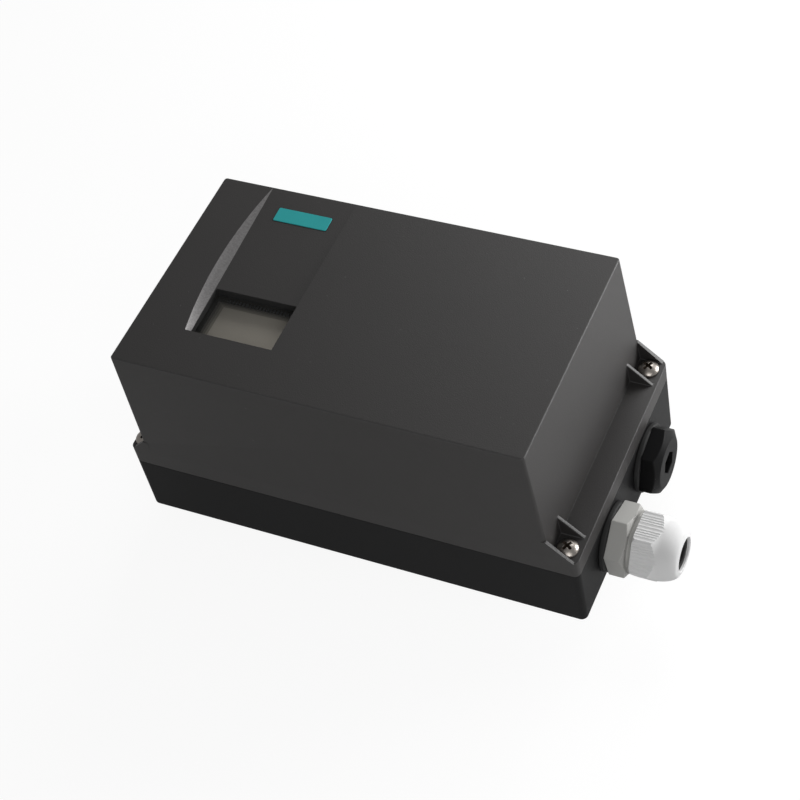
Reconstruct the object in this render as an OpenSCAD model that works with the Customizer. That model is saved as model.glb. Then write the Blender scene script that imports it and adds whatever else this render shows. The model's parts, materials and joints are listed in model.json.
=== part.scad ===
// Electropneumatic valve positioner: enclosure, cable entries, pneumatic ports,
// feedback shaft with gear train, pneumatic block, electronics and cover.
// Origin: axis of the feedback shaft, on the rear mounting face.
// +X runs to the cable end, +Z runs from the mounting face to the cover.

/* [Enclosure] */
// Length of base and cover, without the port strip
body_l = 179.5; // [172:0.5:200]
// Width of base and cover
body_w = 95; // [92:0.5:112]
// Height from the mounting face to the top of the cover
body_h = 88.5; // [86:0.5:100]
// Height of the base
base_h = 27; // [26:0.5:34]
// Distance from the shaft axis to the cable end
shaft_end = 72; // [70:0.5:82]
// Thickness of the base floor
floor_t = 4; // [3.5:0.1:6]
// Long walls of the base
side_wall = 4.5; // [4.2:0.1:6]
// Base wall at the pneumatic end
port_wall = 11; // [10.6:0.1:14]
// Base wall at the cable end
gland_wall = 12; // [11.6:0.1:15]
// Radius of the upright corners
corner_r = 2.4; // [1.5:0.1:5]
// Small gap between pieces that are put together by hand
fit_gap = 0.1; // [0.05:0.01:0.3]
// Radial running gap of turning and sliding pieces
run_gap = 0.04; // [0.02:0.01:0.08]

/* [Cover] */
// Height of the cover's rim, up to the screw flanges
rim_h = 8; // [6:0.5:12]
// Walls of the cover
cover_wall = 3; // [2.5:0.1:4]
// Top of the cover
cover_top = 4; // [3.5:0.1:6]
// Width of the screw flange at the pneumatic end
port_flange = 7; // [6.8:0.1:9]
// Width of the screw flange at the cable end
gland_flange = 10.2; // [9.8:0.1:13]
// How far the cable-end wall leans in on its way up
end_lean = 3.55; // [1:0.05:6]
// How far each long wall leans in on its way up
side_lean = 1.05; // [0.2:0.05:2]
// Rounding of the top edges
edge_r = 0.6; // [0.4:0.1:1]
// Radius of the upright corners above the rim
dome_corner_r = 1.2; // [1:0.1:2.4]
// Thickness of the gussets on the flanges
gusset_t = 1.3; // [1:0.1:1.5]
// Distance of the inner gussets from the long sides
gusset_inset = 12; // [11.5:0.1:14]
// Flange left free in front of a gusset
gusset_stop = 1.4; // [0.5:0.1:2]

/* [Cover screws] */
// Thread diameter of the cover screws
screw_d = 4; // [3.5:0.1:4.5]
// Head diameter of the cover screws
screw_head_d = 8; // [7:0.1:8.2]
// Head height of the cover screws
screw_head_h = 2.6; // [2:0.1:3.5]
// Reach of the cover screws into the base
screw_reach = 12; // [8:0.5:14]
// Distance of the cover screws from the long sides
screw_side = 5.5; // [5.4:0.1:6]
// Distance of the cover screws from the cable end
screw_gland_end = 5.5; // [5:0.1:5.6]
// Distance of the cover screws from the pneumatic end
screw_port_end = 4.1; // [4:0.1:4.4]
// Outside diameter of the threaded inserts for the cover screws
cover_insert_d = 5.6; // [5.2:0.1:6]

/* [Cover gasket] */
// Width of the gasket cord
gasket_w = 1.8; // [1.5:0.1:2]
// Depth of its groove
gasket_h = 2; // [1.5:0.1:3]
// Distance of the gasket's middle from the long sides
gasket_side = 2.25; // [2:0.05:2.4]
// Distance of the gasket's middle from the tub at the ends
gasket_end = 2.1; // [1.8:0.05:2.3]

/* [Panel and window] */
// Distance of the window from the pneumatic end
window_from_end = 29.1; // [27:0.1:34]
// Length of the window and of the sloped panel
window_l = 33.7; // [30:0.1:38]
// Distance of the window from the near side
window_from_side = 20.6; // [18:0.1:23]
// Width of the window
window_w = 22; // [20:0.1:24]
// Depth of the panel at its low end
panel_depth = 2; // [1:0.1:2.4]
// Bulge of the panel's curved flank
panel_bulge = 3.8; // [2:0.1:5]
// How far the flank starts outside the window at the low end
panel_flank = 2.5; // [1:0.1:4]
// Thickness of the window pane
pane_t = 3; // [2:0.1:3.5]
// Overlap of the pane under the cover
pane_lap = 3; // [2:0.1:4]
// Length of the badge plate
badge_l = 22; // [16:0.5:26]
// Width of the badge plate
badge_w = 6.4; // [4:0.1:9]
// Thickness of the badge plate
badge_t = 0.9; // [0.7:0.05:1.2]
// How far the badge plate is let into the panel
badge_sunk = 0.6; // [0.3:0.05:0.65]
// Distance of the badge's middle from the far edge of the panel
badge_from_edge = 12.3; // [9:0.1:18]

/* [Cable entries] */
// Diameter of the entry thread
entry_d = 20; // [18:0.5:20.5]
// Spacing of the two entries
entry_pitch = 37; // [34:0.5:44]
// Width across flats of the gland body
gland_af = 24; // [23:0.1:25]
// Length of the gland's hexagon
gland_hex_l = 7; // [5:0.1:9]
// Thickness of the sealing washers
washer_t = 2.2; // [1:0.1:3]
// Diameter of the sealing washers
washer_d = 26.4; // [24:0.1:27]
// Gap between the gland's hexagon and the nut
gland_neck = 2; // [1:0.1:3]
// Width across flats of the gland nut
nut_af = 23.4; // [22.5:0.1:24.5]
// Length of the gland nut's hexagon
nut_hex_l = 9; // [7:0.1:11]
// Length of the gland nut's dome
nut_dome_l = 7.6; // [6:0.1:9]
// Opening of the gland nut
nut_open_d = 12.4; // [11:0.1:13]
// Thread diameter between gland body and nut
gland_thread_d = 18; // [17:0.1:18.6]
// Bore of the cable seal
seal_bore_d = 10; // [8:0.1:10.8]
// Width across flats of the blanking plug
plug_af = 24; // [23:0.1:25]
// Height of the blanking plug's head
plug_head_h = 7; // [5:0.1:9]
// Width across flats of the plug's socket
plug_socket_af = 8; // [6:0.1:10]
// Depth of the plug's socket
plug_socket_h = 5; // [3:0.1:6]

/* [Pneumatic ports] */
// How far the port strip stands out of the base
strip_proud = 5; // [3:0.1:8]
// How far the port strip is let into the base
strip_sunk = 5.5; // [4:0.1:6]
// Distance of the port strip's ends from the long sides
strip_side = 10.5; // [9.5:0.1:13]
// Height of the port strip
strip_h = 22; // [20:0.5:23]
// Distance between an outlet port and its restrictor screw
port_gap = 9; // [8.8:0.1:10]
// Core diameter of the port threads
port_d = 11.5; // [11:0.1:12]
// Depth of the port threads
port_depth = 9; // [7:0.1:9.4]
// Diameter of the air ducts behind the ports
duct_d = 6; // [4:0.1:7]
// Distance of the restrictor screws from the strip's ends
restrictor_side = 5; // [4.5:0.1:5.5]
// Diameter of the restrictor screws
restrictor_d = 5; // [4:0.1:5.4]
// Length of the restrictor screws
restrictor_l = 8; // [6:0.1:9]
// Thickness of the gasket behind the port strip
strip_gasket_t = 1; // [0.5:0.1:1.2]
// Thread diameter of the strip screws
strip_screw_d = 3; // [2.5:0.1:3.5]
// Diameter of the exhaust silencer
silencer_d = 18; // [14:0.5:24]
// Thickness of the exhaust silencer
silencer_t = 2.6; // [1.5:0.1:3]

/* [Rear mounting] */
// Spacing of the four bracket threads, both ways
bracket_pitch = 50; // [48:0.5:52]
// Core diameter of the bracket threads
bracket_d = 6.8; // [6:0.1:7.5]
// Outside diameter of the bracket inserts
bracket_insert_d = 12; // [10.5:0.1:13]
// Length of the bracket inserts
bracket_insert_l = 11; // [9:0.1:13]
// Wall of the bosses around inserts, bush and potentiometer
boss_wall = 3; // [2:0.1:3.4]

/* [Feedback shaft] */
// Diameter of the feedback shaft
shaft_d = 8; // [7:0.1:9]
// Length of the shaft outside the mounting face
shaft_out = 15; // [15:0.5:25]
// Depth of the flat on the shaft
shaft_flat = 0.8; // [0.4:0.1:1.2]
// Length of the flat on the shaft
shaft_flat_l = 7; // [4:0.5:7]
// Wall of the shaft bush
bush_wall = 1.6; // [1.2:0.1:2.5]
// Length of the shaft bush
bush_l = 8; // [6:0.5:10]
// Thickness of the shaft's shoulder
shoulder_t = 1.8; // [1:0.1:3]
// Diameter of the shaft inside the gears
spindle_d = 6; // [5:0.1:6.5]
// Thickness of the retaining rings
circlip_t = 1; // [0.8:0.05:1.4]

/* [Gear train] */
// Module of the gears
gear_module = 1; // [0.9:0.01:1.1]
// Teeth of the drive gear on the shaft
gear_teeth = 48; // [44:1:52]
// Teeth of the potentiometer pinion
pinion_teeth = 16; // [14:1:18]
// Width of the drive gear
gear_w = 6; // [4:0.5:8]
// Backlash of the teeth on the pitch circle
tooth_play = 0.16; // [0.1:0.01:0.3]
// Length of the clutch hub under the gear
hub_l = 16; // [13:0.5:18]
// Diameter of the clutch hub
hub_d = 16; // [13:0.5:20]
// Thickness of the clutch spring
spring_t = 1.6; // [1:0.1:2]
// Diameter of the clutch wheel
wheel_d = 30; // [26:0.5:34]
// Height of the clutch wheel
wheel_h = 8; // [6:0.5:10]
// Diameter of the potentiometer
pot_d = 20; // [16:0.5:22]
// Height of the potentiometer
pot_h = 12; // [10:0.5:13]

/* [Pneumatic block] */
// Height of the manifold
manifold_h = 18; // [17:0.5:20]
// Height of the valve block
valve_h = 17; // [15:0.5:20]
// Thickness of the gasket between manifold and valve block
block_gasket_t = 1; // [0.5:0.1:1.5]
// Diameter of the purge selector
selector_d = 10; // [8:0.1:11]
// Height of the purge selector
selector_h = 5; // [4:0.1:7]

/* [Electronics] */
// Height of the board above the valve block
standoff_h = 10; // [9:0.5:12]
// Thickness of the boards
board_t = 1.6; // [1.2:0.1:2]
// Walls of the module cover
module_wall = 2; // [1.5:0.1:2.5]
// Gap between the window pane and the display
display_gap = 1.5; // [1:0.1:2.5]
// Thickness of the display
display_t = 2.4; // [2:0.1:3]
// Width of the display frame
frame_w = 2; // [1.5:0.1:2.5]
// Diameter of the keys
key_d = 8.4; // [7:0.1:9]
// Spacing of the keys
key_pitch = 14; // [12.5:0.1:15]
// Travel of the keys
key_travel = 1; // [0.5:0.1:1.2]
// Length of the terminal block along the enclosure
terminal_l = 12; // [10:0.5:14]
// Height of the terminal block
terminal_h = 12; // [10:0.5:15]
// Spacing of the terminals
terminal_pitch = 5.5; // [5:0.1:6.5]
// Travel of the ratio selector
ratio_travel = 6; // [4:0.5:8]

/* [Hidden] */
$fn = 64;
// Extra length that lets a cut pass through a face
over = 1;

// Enclosure
x_right = shaft_end;
x_left = shaft_end - body_l;
half_w = body_w / 2;
rim_top = base_h + rim_h;
ceiling = body_h - cover_top;
tub_x0 = x_left + port_wall;
tub_x1 = x_right - gland_wall;
tub_y = half_w - side_wall;
tub_r = 4;
dome_x0 = x_left + port_flange;
dome_x1 = x_right - gland_flange;
cavity_x0 = dome_x0 + cover_wall;
cavity_x1 = dome_x1 - cover_wall;
cavity_y = half_w - side_lean - cover_wall;
top_edge = min(edge_r, dome_corner_r / 2);

// Cover screws and gasket
screw_y = half_w - screw_side;
screw_x = [x_left + screw_port_end, x_right - screw_gland_end];
insert_wall = (cover_insert_d - screw_d) / 2;
gasket_x0 = tub_x0 - gasket_end;
gasket_x1 = tub_x1 + gasket_end;
gasket_y = half_w - gasket_side;
gasket_r = 5;

// Panel and window
window_x0 = x_left + window_from_end;
window_x1 = window_x0 + window_l;
window_y0 = -half_w + window_from_side;
window_y1 = window_y0 + window_w;
panel_y1 = half_w - side_lean;
panel_l = panel_y1 - window_y0;
panel_slope = atan(panel_depth / panel_l);
flank_r = (pow(panel_l / 2, 2) + pow(panel_bulge, 2)) / (2 * panel_bulge);
badge_x = (window_x0 + window_x1) / 2;
badge_y = panel_y1 - badge_from_edge;
badge_z = body_h - badge_from_edge * tan(panel_slope);

// Cable entries
entry_z = base_h / 2;
gland_y = -entry_pitch / 2;
plug_y = entry_pitch / 2;
stub_r = entry_d / 2 - fit_gap / 2;
gland_hex_x = washer_t;
gland_neck_x = gland_hex_x + gland_hex_l;
nut_x = gland_neck_x + gland_neck;
nut_dome_x = nut_x + nut_hex_l;
nut_end_x = nut_dome_x + nut_dome_l;
nut_corner_r = nut_af / sqrt(3);
nut_dome_r = nut_af / 2 - 0.1;
nut_lip = 1.2;
gland_bore_r = nut_open_d / 2 - 0.4;
gland_thread_l = nut_hex_l - 1;
seal_x = nut_x + gland_thread_l + fit_gap;
seal_r = gland_thread_d / 2 - 1;
hex_chamfer = 1.2;
// Angles at which the threads of gland body, nut and plug come to a stop
gland_turn = 10;
nut_turn = 30;
plug_turn = 40;

// Pneumatic ports
strip_x0 = x_left - strip_proud;
strip_x1 = x_left + strip_sunk;
strip_z0 = entry_z - strip_h / 2;
strip_w = body_w - 2 * strip_side;
restrictor_y = strip_w / 2 - restrictor_side;
port_pitch = restrictor_y - port_gap;
port_y = [-port_pitch, 0, port_pitch];
strip_screw_y = port_pitch / 2;
strip_screw_z = strip_h / 2 - strip_screw_d - 1.5;
strip_screw_l = strip_proud + strip_sunk + strip_gasket_t + 3;
strip_head_r = strip_screw_d - 0.3;
restrictor_sunk = 0.3;

// Feedback shaft, upward from the mounting face
shaft_r = shaft_d / 2;
recess_h = floor_t;
recess_r = shaft_r + 4;
bush_z0 = recess_h;
bush_z1 = bush_z0 + bush_l;
bush_r = shaft_r + run_gap + bush_wall;
hub_z0 = bush_z1 + fit_gap + shoulder_t;
gear_z0 = hub_z0 + hub_l;
gear_z1 = gear_z0 + gear_w;
wheel_z0 = gear_z1 + spring_t;
wheel_z1 = wheel_z0 + wheel_h;
shaft_top = wheel_z1 + circlip_t + 1.4;
spindle_r = spindle_d / 2;
circlip_groove = 0.6;
circlip_grip = 0.03;

// Gear train
press_angle = 20;
flank_steps = 4;
gear_pitch_r = gear_module * gear_teeth / 2;
pinion_pitch_r = gear_module * pinion_teeth / 2;
gear_distance = gear_pitch_r + pinion_pitch_r;
pot_x = -gear_distance;
pot_r = pot_d / 2;
pot_z0 = floor_t + 10;
pot_z1 = pot_z0 + pot_h;
pot_spindle_r = 3;
pinion_over = 0.5;

// Bosses of the base
bush_boss_r = bush_r + fit_gap + boss_wall;
insert_boss_r = bracket_insert_d / 2 + boss_wall;
insert_boss_h = bracket_insert_l + 2;
bracket_at = bracket_pitch / 2;

// Pneumatic block
block_x0 = tub_x0;
block_x1 = -(gear_distance + pot_r + 4);
block_half = half_w - side_wall - 5;
manifold_z1 = floor_t + manifold_h;
valve_z0 = manifold_z1 + block_gasket_t;
valve_z1 = valve_z0 + valve_h;
valve_x0 = cavity_x0 + 3;
valve_x1 = block_x1 - 2;
pilot_gap = 2;
pilot_h = 7;
silencer_x = block_x0 + 20;
riser_x = block_x0 + 15;
exhaust_x = silencer_x + 8;

// Electronics, laid out from the window
display_z1 = ceiling - pane_t - display_gap;
module_z1 = display_z1 - display_t;
board_z0 = valve_z1 + standoff_h;
board_z1 = board_z0 + board_t;
display_lap = 3.5;
display_x0 = window_x0 - display_lap;
display_x1 = window_x1 + display_lap;
display_y0 = window_y0 - display_lap;
display_y1 = window_y1 + display_lap;
module_x0 = cavity_x0 + 2;
module_x1 = display_x1 + frame_w + 2;
key_r = key_d / 2;
key_y = display_y1 + frame_w + 8;
key_x = [for (i = [-1, 0, 1]) (window_x0 + window_x1) / 2 + i * key_pitch];
module_y0 = -block_half + 2;
module_y1 = key_y + key_r + 6;
board_x0 = module_x0;
board_x1 = tub_x1 - 7;
board_y0 = -block_half;
board_y1 = module_y1 + 2;
wheel_hole_r = wheel_d / 2 + 4;
terminal_x1 = board_x1 - 2;
terminal_x0 = terminal_x1 - terminal_l;
terminal_half = block_half - 3;
terminal_count = floor((2 * terminal_half - 2) / terminal_pitch);
standoff_x = terminal_x0 - 5;
standoff_y = block_half - 5;
standoff_inset = 6;
standoff_af = 6;
far_strip = block_half - board_y1;
far_strip_y = board_y1 + far_strip / 2;
pilot_w = 0.58 * far_strip;

// Keys and the small board under them
key_hole_gap = 0.15;
key_flange_z1 = module_z1 - module_wall - 0.2;
key_flange_z0 = key_flange_z1 - 1.4;
key_proud = 2;
switch_gap = 0.2;
switch_h = 1.4;
switch_z0 = key_flange_z0 - key_travel - switch_gap - switch_h;
small_board_z0 = switch_z0 - board_t;
small_board_lap = 6.5;
small_post_y = 4.5;

// Ratio selector
rail_inset = 10;
rail_y = board_y0 + rail_inset;
rail_l = 14 + ratio_travel;
rail_w = 4;
rail_h = 3;
rail_stop = 2;
slider_l = rail_l - 2 * rail_stop - ratio_travel;
slider_wall = 2;

// Turns a shape that stands on Z so that it points along +X from a place on an end wall
module along_x(x, y, z) {
    translate([x, y, z]) rotate([0, 90, 0]) children();
}

// Rectangle with round corners
module rounded_rect(x0, x1, y0, y1, r) {
    translate([x0 + r, y0]) square([x1 - x0 - 2 * r, y1 - y0]);
    translate([x0, y0 + r]) square([x1 - x0, y1 - y0 - 2 * r]);
    for (x = [x0 + r, x1 - r], y = [y0 + r, y1 - r])
        translate([x, y]) circle(r);
}

// Box given by its lowest and highest corners
module box(a, b) {
    translate(a) cube(b - a);
}

// Hexagonal prism given by its width across flats
module hex_prism(af, h) {
    cylinder(d = af / cos(30), h = h, $fn = 6);
}

// Ring with a round bore
module ring(r_out, r_in, h) {
    difference() {
        cylinder(r = r_out, h = h);
        translate([0, 0, -over]) cylinder(r = r_in, h = h + 2 * over);
    }
}

// Copies at the four cover screws
module at_cover_screws() {
    for (x = screw_x, s = [-1, 1])
        translate([x, s * screw_y, 0]) children();
}

// Copies at the four bracket threads
module at_bracket_threads() {
    for (x = [-bracket_at, bracket_at], y = [-bracket_at, bracket_at])
        translate([x, y, 0]) children();
}

// Copies at the four screws of the port strip, pointing into the enclosure
module at_strip_screws() {
    for (y = [-strip_screw_y, strip_screw_y], s = [-1, 1])
        along_x(strip_x0, y, entry_z + s * strip_screw_z) children();
}

// Copies at the short standoffs on the valve block
module at_short_standoffs() {
    for (x = [valve_x0 + standoff_inset, valve_x1 - standoff_inset])
        for (y = [board_y0 + standoff_inset - 2, board_y1 - standoff_inset + 2])
            translate([x, y, 0]) children();
}

// Copies at the tall standoffs beside the terminals
module at_tall_standoffs() {
    for (s = [-1, 1])
        translate([standoff_x, s * standoff_y, 0]) children();
}

// Path of the cover gasket, widened to w
module gasket_outline(w) {
    difference() {
        rounded_rect(gasket_x0 - w / 2, gasket_x1 + w / 2, -gasket_y - w / 2, gasket_y + w / 2,
            gasket_r + w / 2);
        rounded_rect(gasket_x0 + w / 2, gasket_x1 - w / 2, -gasket_y + w / 2, gasket_y - w / 2,
            gasket_r - w / 2);
    }
}

// Involute of an angle, in degrees
function involute(a) = tan(a) * 180 / PI - a;

// Half the angle that a tooth takes at radius r
function tooth_half(r, pitch_r, n) =
    let(base_r = pitch_r * cos(press_angle))
    90 / n - tooth_play / 4 / pitch_r * 180 / PI
        + involute(press_angle) - involute(acos(min(1, base_r / r)));

// Outline of a spur gear with n teeth
function gear_outline(n) =
    let(pitch_r = gear_module * n / 2)
    let(root_r = pitch_r - 1.25 * gear_module)
    let(tip_r = pitch_r + gear_module)
    let(low_r = max(root_r, pitch_r * cos(press_angle)))
    let(flank = concat([root_r], [for (k = [0:flank_steps]) low_r + (tip_r - low_r) * k / flank_steps]))
    [for (i = [0:n - 1], side = [-1, 1], k = [0:len(flank) - 1])
        let(r = flank[side < 0 ? k : len(flank) - 1 - k])
        let(a = 360 * i / n + side * tooth_half(max(r, low_r), pitch_r, n))
        [r * cos(a), r * sin(a)]];

module enclosure_base() {
    color("#29292b")
    difference() {
        union() {
            difference() {
                linear_extrude(base_h)
                    rounded_rect(x_left, x_right, -half_w, half_w, corner_r);
                translate([0, 0, floor_t]) linear_extrude(base_h)
                    rounded_rect(tub_x0, tub_x1, -tub_y, tub_y, tub_r);
            }
            cylinder(r = bush_boss_r, h = bush_z1);
            at_bracket_threads() cylinder(r = insert_boss_r, h = insert_boss_h);
            translate([pot_x, 0, 0]) cylinder(r = pot_r, h = pot_z0);
            at_tall_standoffs() cylinder(r = standoff_af, h = insert_boss_h);
        }
        translate([0, 0, base_h - gasket_h]) linear_extrude(gasket_h + over)
            gasket_outline(gasket_w + 2 * fit_gap);
        at_cover_screws() translate([0, 0, base_h - screw_reach - 2])
            cylinder(d = cover_insert_d + fit_gap, h = screw_reach + 2 + over);
        for (y = [gland_y, plug_y])
            along_x(tub_x1 - over, y, entry_z) cylinder(d = entry_d, h = gland_wall + 2 * over);
        box([x_left - over, -strip_w / 2 - fit_gap, strip_z0 - fit_gap],
            [strip_x1 + strip_gasket_t, strip_w / 2 + fit_gap, strip_z0 + strip_h + fit_gap]);
        for (y = port_y)
            along_x(x_left, y, entry_z) cylinder(d = duct_d, h = port_wall + over);
        at_strip_screws() cylinder(d = strip_screw_d + fit_gap, h = strip_screw_l + fit_gap);
        translate([0, 0, -over]) cylinder(r = recess_r + fit_gap, h = recess_h + over);
        cylinder(r = bush_r + fit_gap / 2, h = bush_z1 + over);
        at_bracket_threads() translate([0, 0, -over])
            cylinder(d = bracket_insert_d + fit_gap, h = bracket_insert_l + over);
        translate([silencer_x, 0, -over]) {
            cylinder(d = silencer_d + 2 * fit_gap, h = silencer_t + fit_gap + over);
            cylinder(d = duct_d, h = floor_t + 2 * over);
        }
    }
}

// Outer form of the cover above its rim
module cover_dome() {
    hull() {
        for (s = [-1, 1], x = [dome_x0 + dome_corner_r, dome_x1 - dome_corner_r])
            translate([x, s * (half_w - dome_corner_r), rim_top])
                cylinder(r = dome_corner_r, h = 0.1, $fn = 32);
        for (s = [-1, 1], x = [dome_x0 + dome_corner_r, dome_x1 - end_lean - dome_corner_r])
            translate([x, s * (half_w - side_lean - dome_corner_r), body_h - top_edge])
                rotate_extrude($fn = 32) translate([dome_corner_r - top_edge, 0])
                    circle(top_edge, $fn = 24);
    }
}

// Sloped panel with a flank that follows a flat arc on the cover's top
module panel_cut() {
    hull() {
        translate([window_x0, 0, 0]) rotate([90, 0, 90]) linear_extrude(window_l)
            polygon([[window_y0, body_h - panel_depth], [window_y0, body_h], [panel_y1, body_h]]);
        translate([0, 0, body_h]) linear_extrude(over) intersection() {
            translate([window_x0 - panel_flank / 2 - panel_bulge + flank_r, window_y0 + panel_l / 2])
                rotate(atan(panel_flank / panel_l) + 180) circle(flank_r, $fn = 240);
            translate([window_x0 - 2 * (panel_bulge + panel_flank), window_y0])
                square([window_x1 - window_x0 + 2 * (panel_bulge + panel_flank), panel_l]);
        }
    }
}

// Triangular gussets on both end flanges
module cover_gussets() {
    for (s = [-1, 1], y = [half_w - gusset_t / 2, half_w - gusset_inset])
        translate([0, s * y + gusset_t / 2, 0]) rotate([90, 0, 0]) linear_extrude(gusset_t) {
            gusset_outline(dome_x1, 1, gland_flange - gusset_stop, end_lean);
            gusset_outline(dome_x0, -1, port_flange - gusset_stop, 0);
        }
}

// One gusset from the wall at x, out by l in direction side, against a wall that leans in
module gusset_outline(x, side, l, lean) {
    wall_in = lean * l / (body_h - rim_top);
    back = cover_wall - 1;
    polygon([[x - side * back, rim_top], [x + side * l, rim_top],
        [x - side * wall_in, rim_top + l], [x - side * back, rim_top + l]]);
}

module enclosure_cover() {
    color("#454444")
    difference() {
        union() {
            translate([0, 0, base_h]) linear_extrude(rim_h)
                rounded_rect(x_left, x_right, -half_w, half_w, corner_r);
            cover_dome();
            cover_gussets();
        }
        translate([0, cavity_y, 0]) rotate([90, 0, 0]) linear_extrude(2 * cavity_y)
            polygon([[cavity_x0, base_h - over], [cavity_x1, base_h - over],
                [cavity_x1, rim_top], [cavity_x1 - end_lean, ceiling], [cavity_x0, ceiling]]);
        panel_cut();
        box([window_x0, window_y0, ceiling - over], [window_x1, window_y1, body_h + over]);
        translate([badge_x, badge_y, badge_z]) rotate([panel_slope, 0, 0])
            box([-badge_l / 2 - fit_gap, -badge_w / 2 - fit_gap, -badge_sunk],
                [badge_l / 2 + fit_gap, badge_w / 2 + fit_gap, over]);
        at_cover_screws() {
            translate([0, 0, base_h - over]) cylinder(r = screw_d / 2 + 2 * fit_gap, h = rim_h + 2 * over);
            translate([0, 0, rim_top]) cylinder(r = screw_head_d / 2 + 2 * fit_gap, h = screw_head_h + over);
        }
    }
}

module cover_gasket() {
    color("#161616")
    translate([0, 0, base_h - gasket_h]) linear_extrude(gasket_h) gasket_outline(gasket_w);
}

module cover_screws() {
    color("#c9c8c6")
    at_cover_screws() difference() {
        union() {
            translate([0, 0, base_h - screw_reach]) cylinder(d = screw_d, h = screw_reach + rim_h);
            translate([0, 0, rim_top]) rotate_extrude() pan_head_outline();
        }
        translate([0, 0, rim_top + screw_head_h - 1.6]) for (a = [0, 90])
            rotate(a) translate([-2, -0.45, 0]) cube([4, 0.9, 1.6 + over]);
    }
}

// Half section of a pan head: low cylinder with a domed top
module pan_head_outline() {
    head_r = screw_head_d / 2;
    rim = screw_head_h * 0.4;
    dome_h = screw_head_h - rim;
    dome_r = (head_r * head_r + dome_h * dome_h) / (2 * dome_h);
    square([head_r, rim]);
    intersection() {
        translate([0, screw_head_h - dome_r]) circle(dome_r, $fn = 96);
        square([head_r, screw_head_h]);
    }
}

module cover_inserts() {
    color("#b08d45")
    at_cover_screws() translate([0, 0, base_h - screw_reach - 1])
        ring(cover_insert_d / 2, screw_d / 2 + fit_gap, screw_reach + 1);
}

module window_pane() {
    color("#d8e0e0", 0.4)
    box([window_x0 - pane_lap, window_y0 - pane_lap, ceiling - pane_t],
        [window_x1 + pane_lap, window_y1 + pane_lap, ceiling]);
}

module badge_plate() {
    color("#347f83")
    translate([badge_x, badge_y, badge_z]) rotate([panel_slope, 0, 0])
        translate([0, 0, -badge_sunk]) linear_extrude(badge_t)
            rounded_rect(-badge_l / 2, badge_l / 2, -badge_w / 2, badge_w / 2, 0.6);
}

module gland_washer() {
    color("#1d1d1e")
    along_x(x_right, gland_y, entry_z) ring(washer_d / 2, entry_d / 2 + fit_gap, washer_t);
}

module plug_washer() {
    color("#1d1d1e")
    along_x(x_right, plug_y, entry_z) ring(washer_d / 2, entry_d / 2 + fit_gap, washer_t);
}

// Hexagon head that starts at h0, turned about its axis, with a lathe-cut chamfer on its front edge
module chamfered_hex(af, h0, h, chamfer, turn) {
    corner = af / sqrt(3);
    intersection() {
        translate([0, 0, h0]) rotate(turn) hex_prism(af, h);
        rotate_extrude() polygon([[0, h0], [corner + over, h0],
            [corner + over, h0 + h - chamfer - over * tan(30)],
            [corner - chamfer / tan(30), h0 + h], [0, h0 + h]]);
    }
}

module gland_body() {
    color("#b9b8b5")
    along_x(x_right, gland_y, entry_z) difference() {
        union() {
            translate([0, 0, -gland_wall + fit_gap]) cylinder(r = stub_r, h = gland_wall);
            cylinder(r = stub_r, h = gland_hex_x + over);
            chamfered_hex(gland_af, gland_hex_x, gland_hex_l, hex_chamfer, gland_turn);
            translate([0, 0, gland_neck_x - over])
                cylinder(r = gland_thread_d / 2 + 1, h = gland_neck - fit_gap + over);
            translate([0, 0, gland_neck_x]) cylinder(d = gland_thread_d, h = gland_neck + gland_thread_l);
        }
        translate([0, 0, -gland_wall - over]) cylinder(r = gland_bore_r, h = gland_wall + nut_end_x);
    }
}

module gland_seal() {
    color("#222222")
    along_x(x_right, gland_y, entry_z) translate([0, 0, seal_x])
        ring(seal_r, seal_bore_d / 2, nut_end_x - nut_lip - fit_gap - seal_x);
}

// Half section that rounds the nut's hexagon into its dome
module nut_outline() {
    dome_rise = nut_dome_l;
    dome_in = nut_dome_r - nut_open_d / 2 - 1.2;
    polygon(concat(
        [[0, 0], [nut_corner_r - 0.9, 0], [nut_corner_r - 0.1, 0.8], [nut_corner_r - 0.1, nut_hex_l - 2]],
        [for (a = [0:15:90])
            [nut_dome_r - dome_in + dome_in * cos(a), nut_hex_l + (dome_rise - 0.4) * sin(a)]],
        [[nut_open_d / 2 + 0.3, nut_hex_l + dome_rise], [0, nut_hex_l + dome_rise]]));
}

module gland_nut() {
    color("#cdcac8")
    along_x(x_right + nut_x, gland_y, entry_z) difference() {
        intersection() {
            rotate(nut_turn) hex_prism(nut_af, nut_hex_l + nut_dome_l);
            rotate_extrude() nut_outline();
        }
        translate([0, 0, -over]) cylinder(d = nut_open_d, h = nut_hex_l + nut_dome_l + 2 * over);
        translate([0, 0, -over])
            cylinder(r = gland_thread_d / 2 + run_gap, h = gland_thread_l + fit_gap + over);
        cylinder(r = seal_r + run_gap, h = nut_hex_l + nut_dome_l - nut_lip);
    }
}

module blanking_plug() {
    color("#2b2b2d")
    along_x(x_right, plug_y, entry_z) difference() {
        union() {
            translate([0, 0, -gland_wall + 3]) cylinder(r = stub_r, h = gland_wall + washer_t);
            chamfered_hex(plug_af, washer_t, plug_head_h, 2 * hex_chamfer, plug_turn);
        }
        translate([0, 0, washer_t + plug_head_h - plug_socket_h]) rotate(plug_turn)
            hex_prism(plug_socket_af, plug_socket_h + over);
        translate([0, 0, -gland_wall]) cylinder(r = stub_r - 2, h = gland_wall - 1);
    }
}

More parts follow.
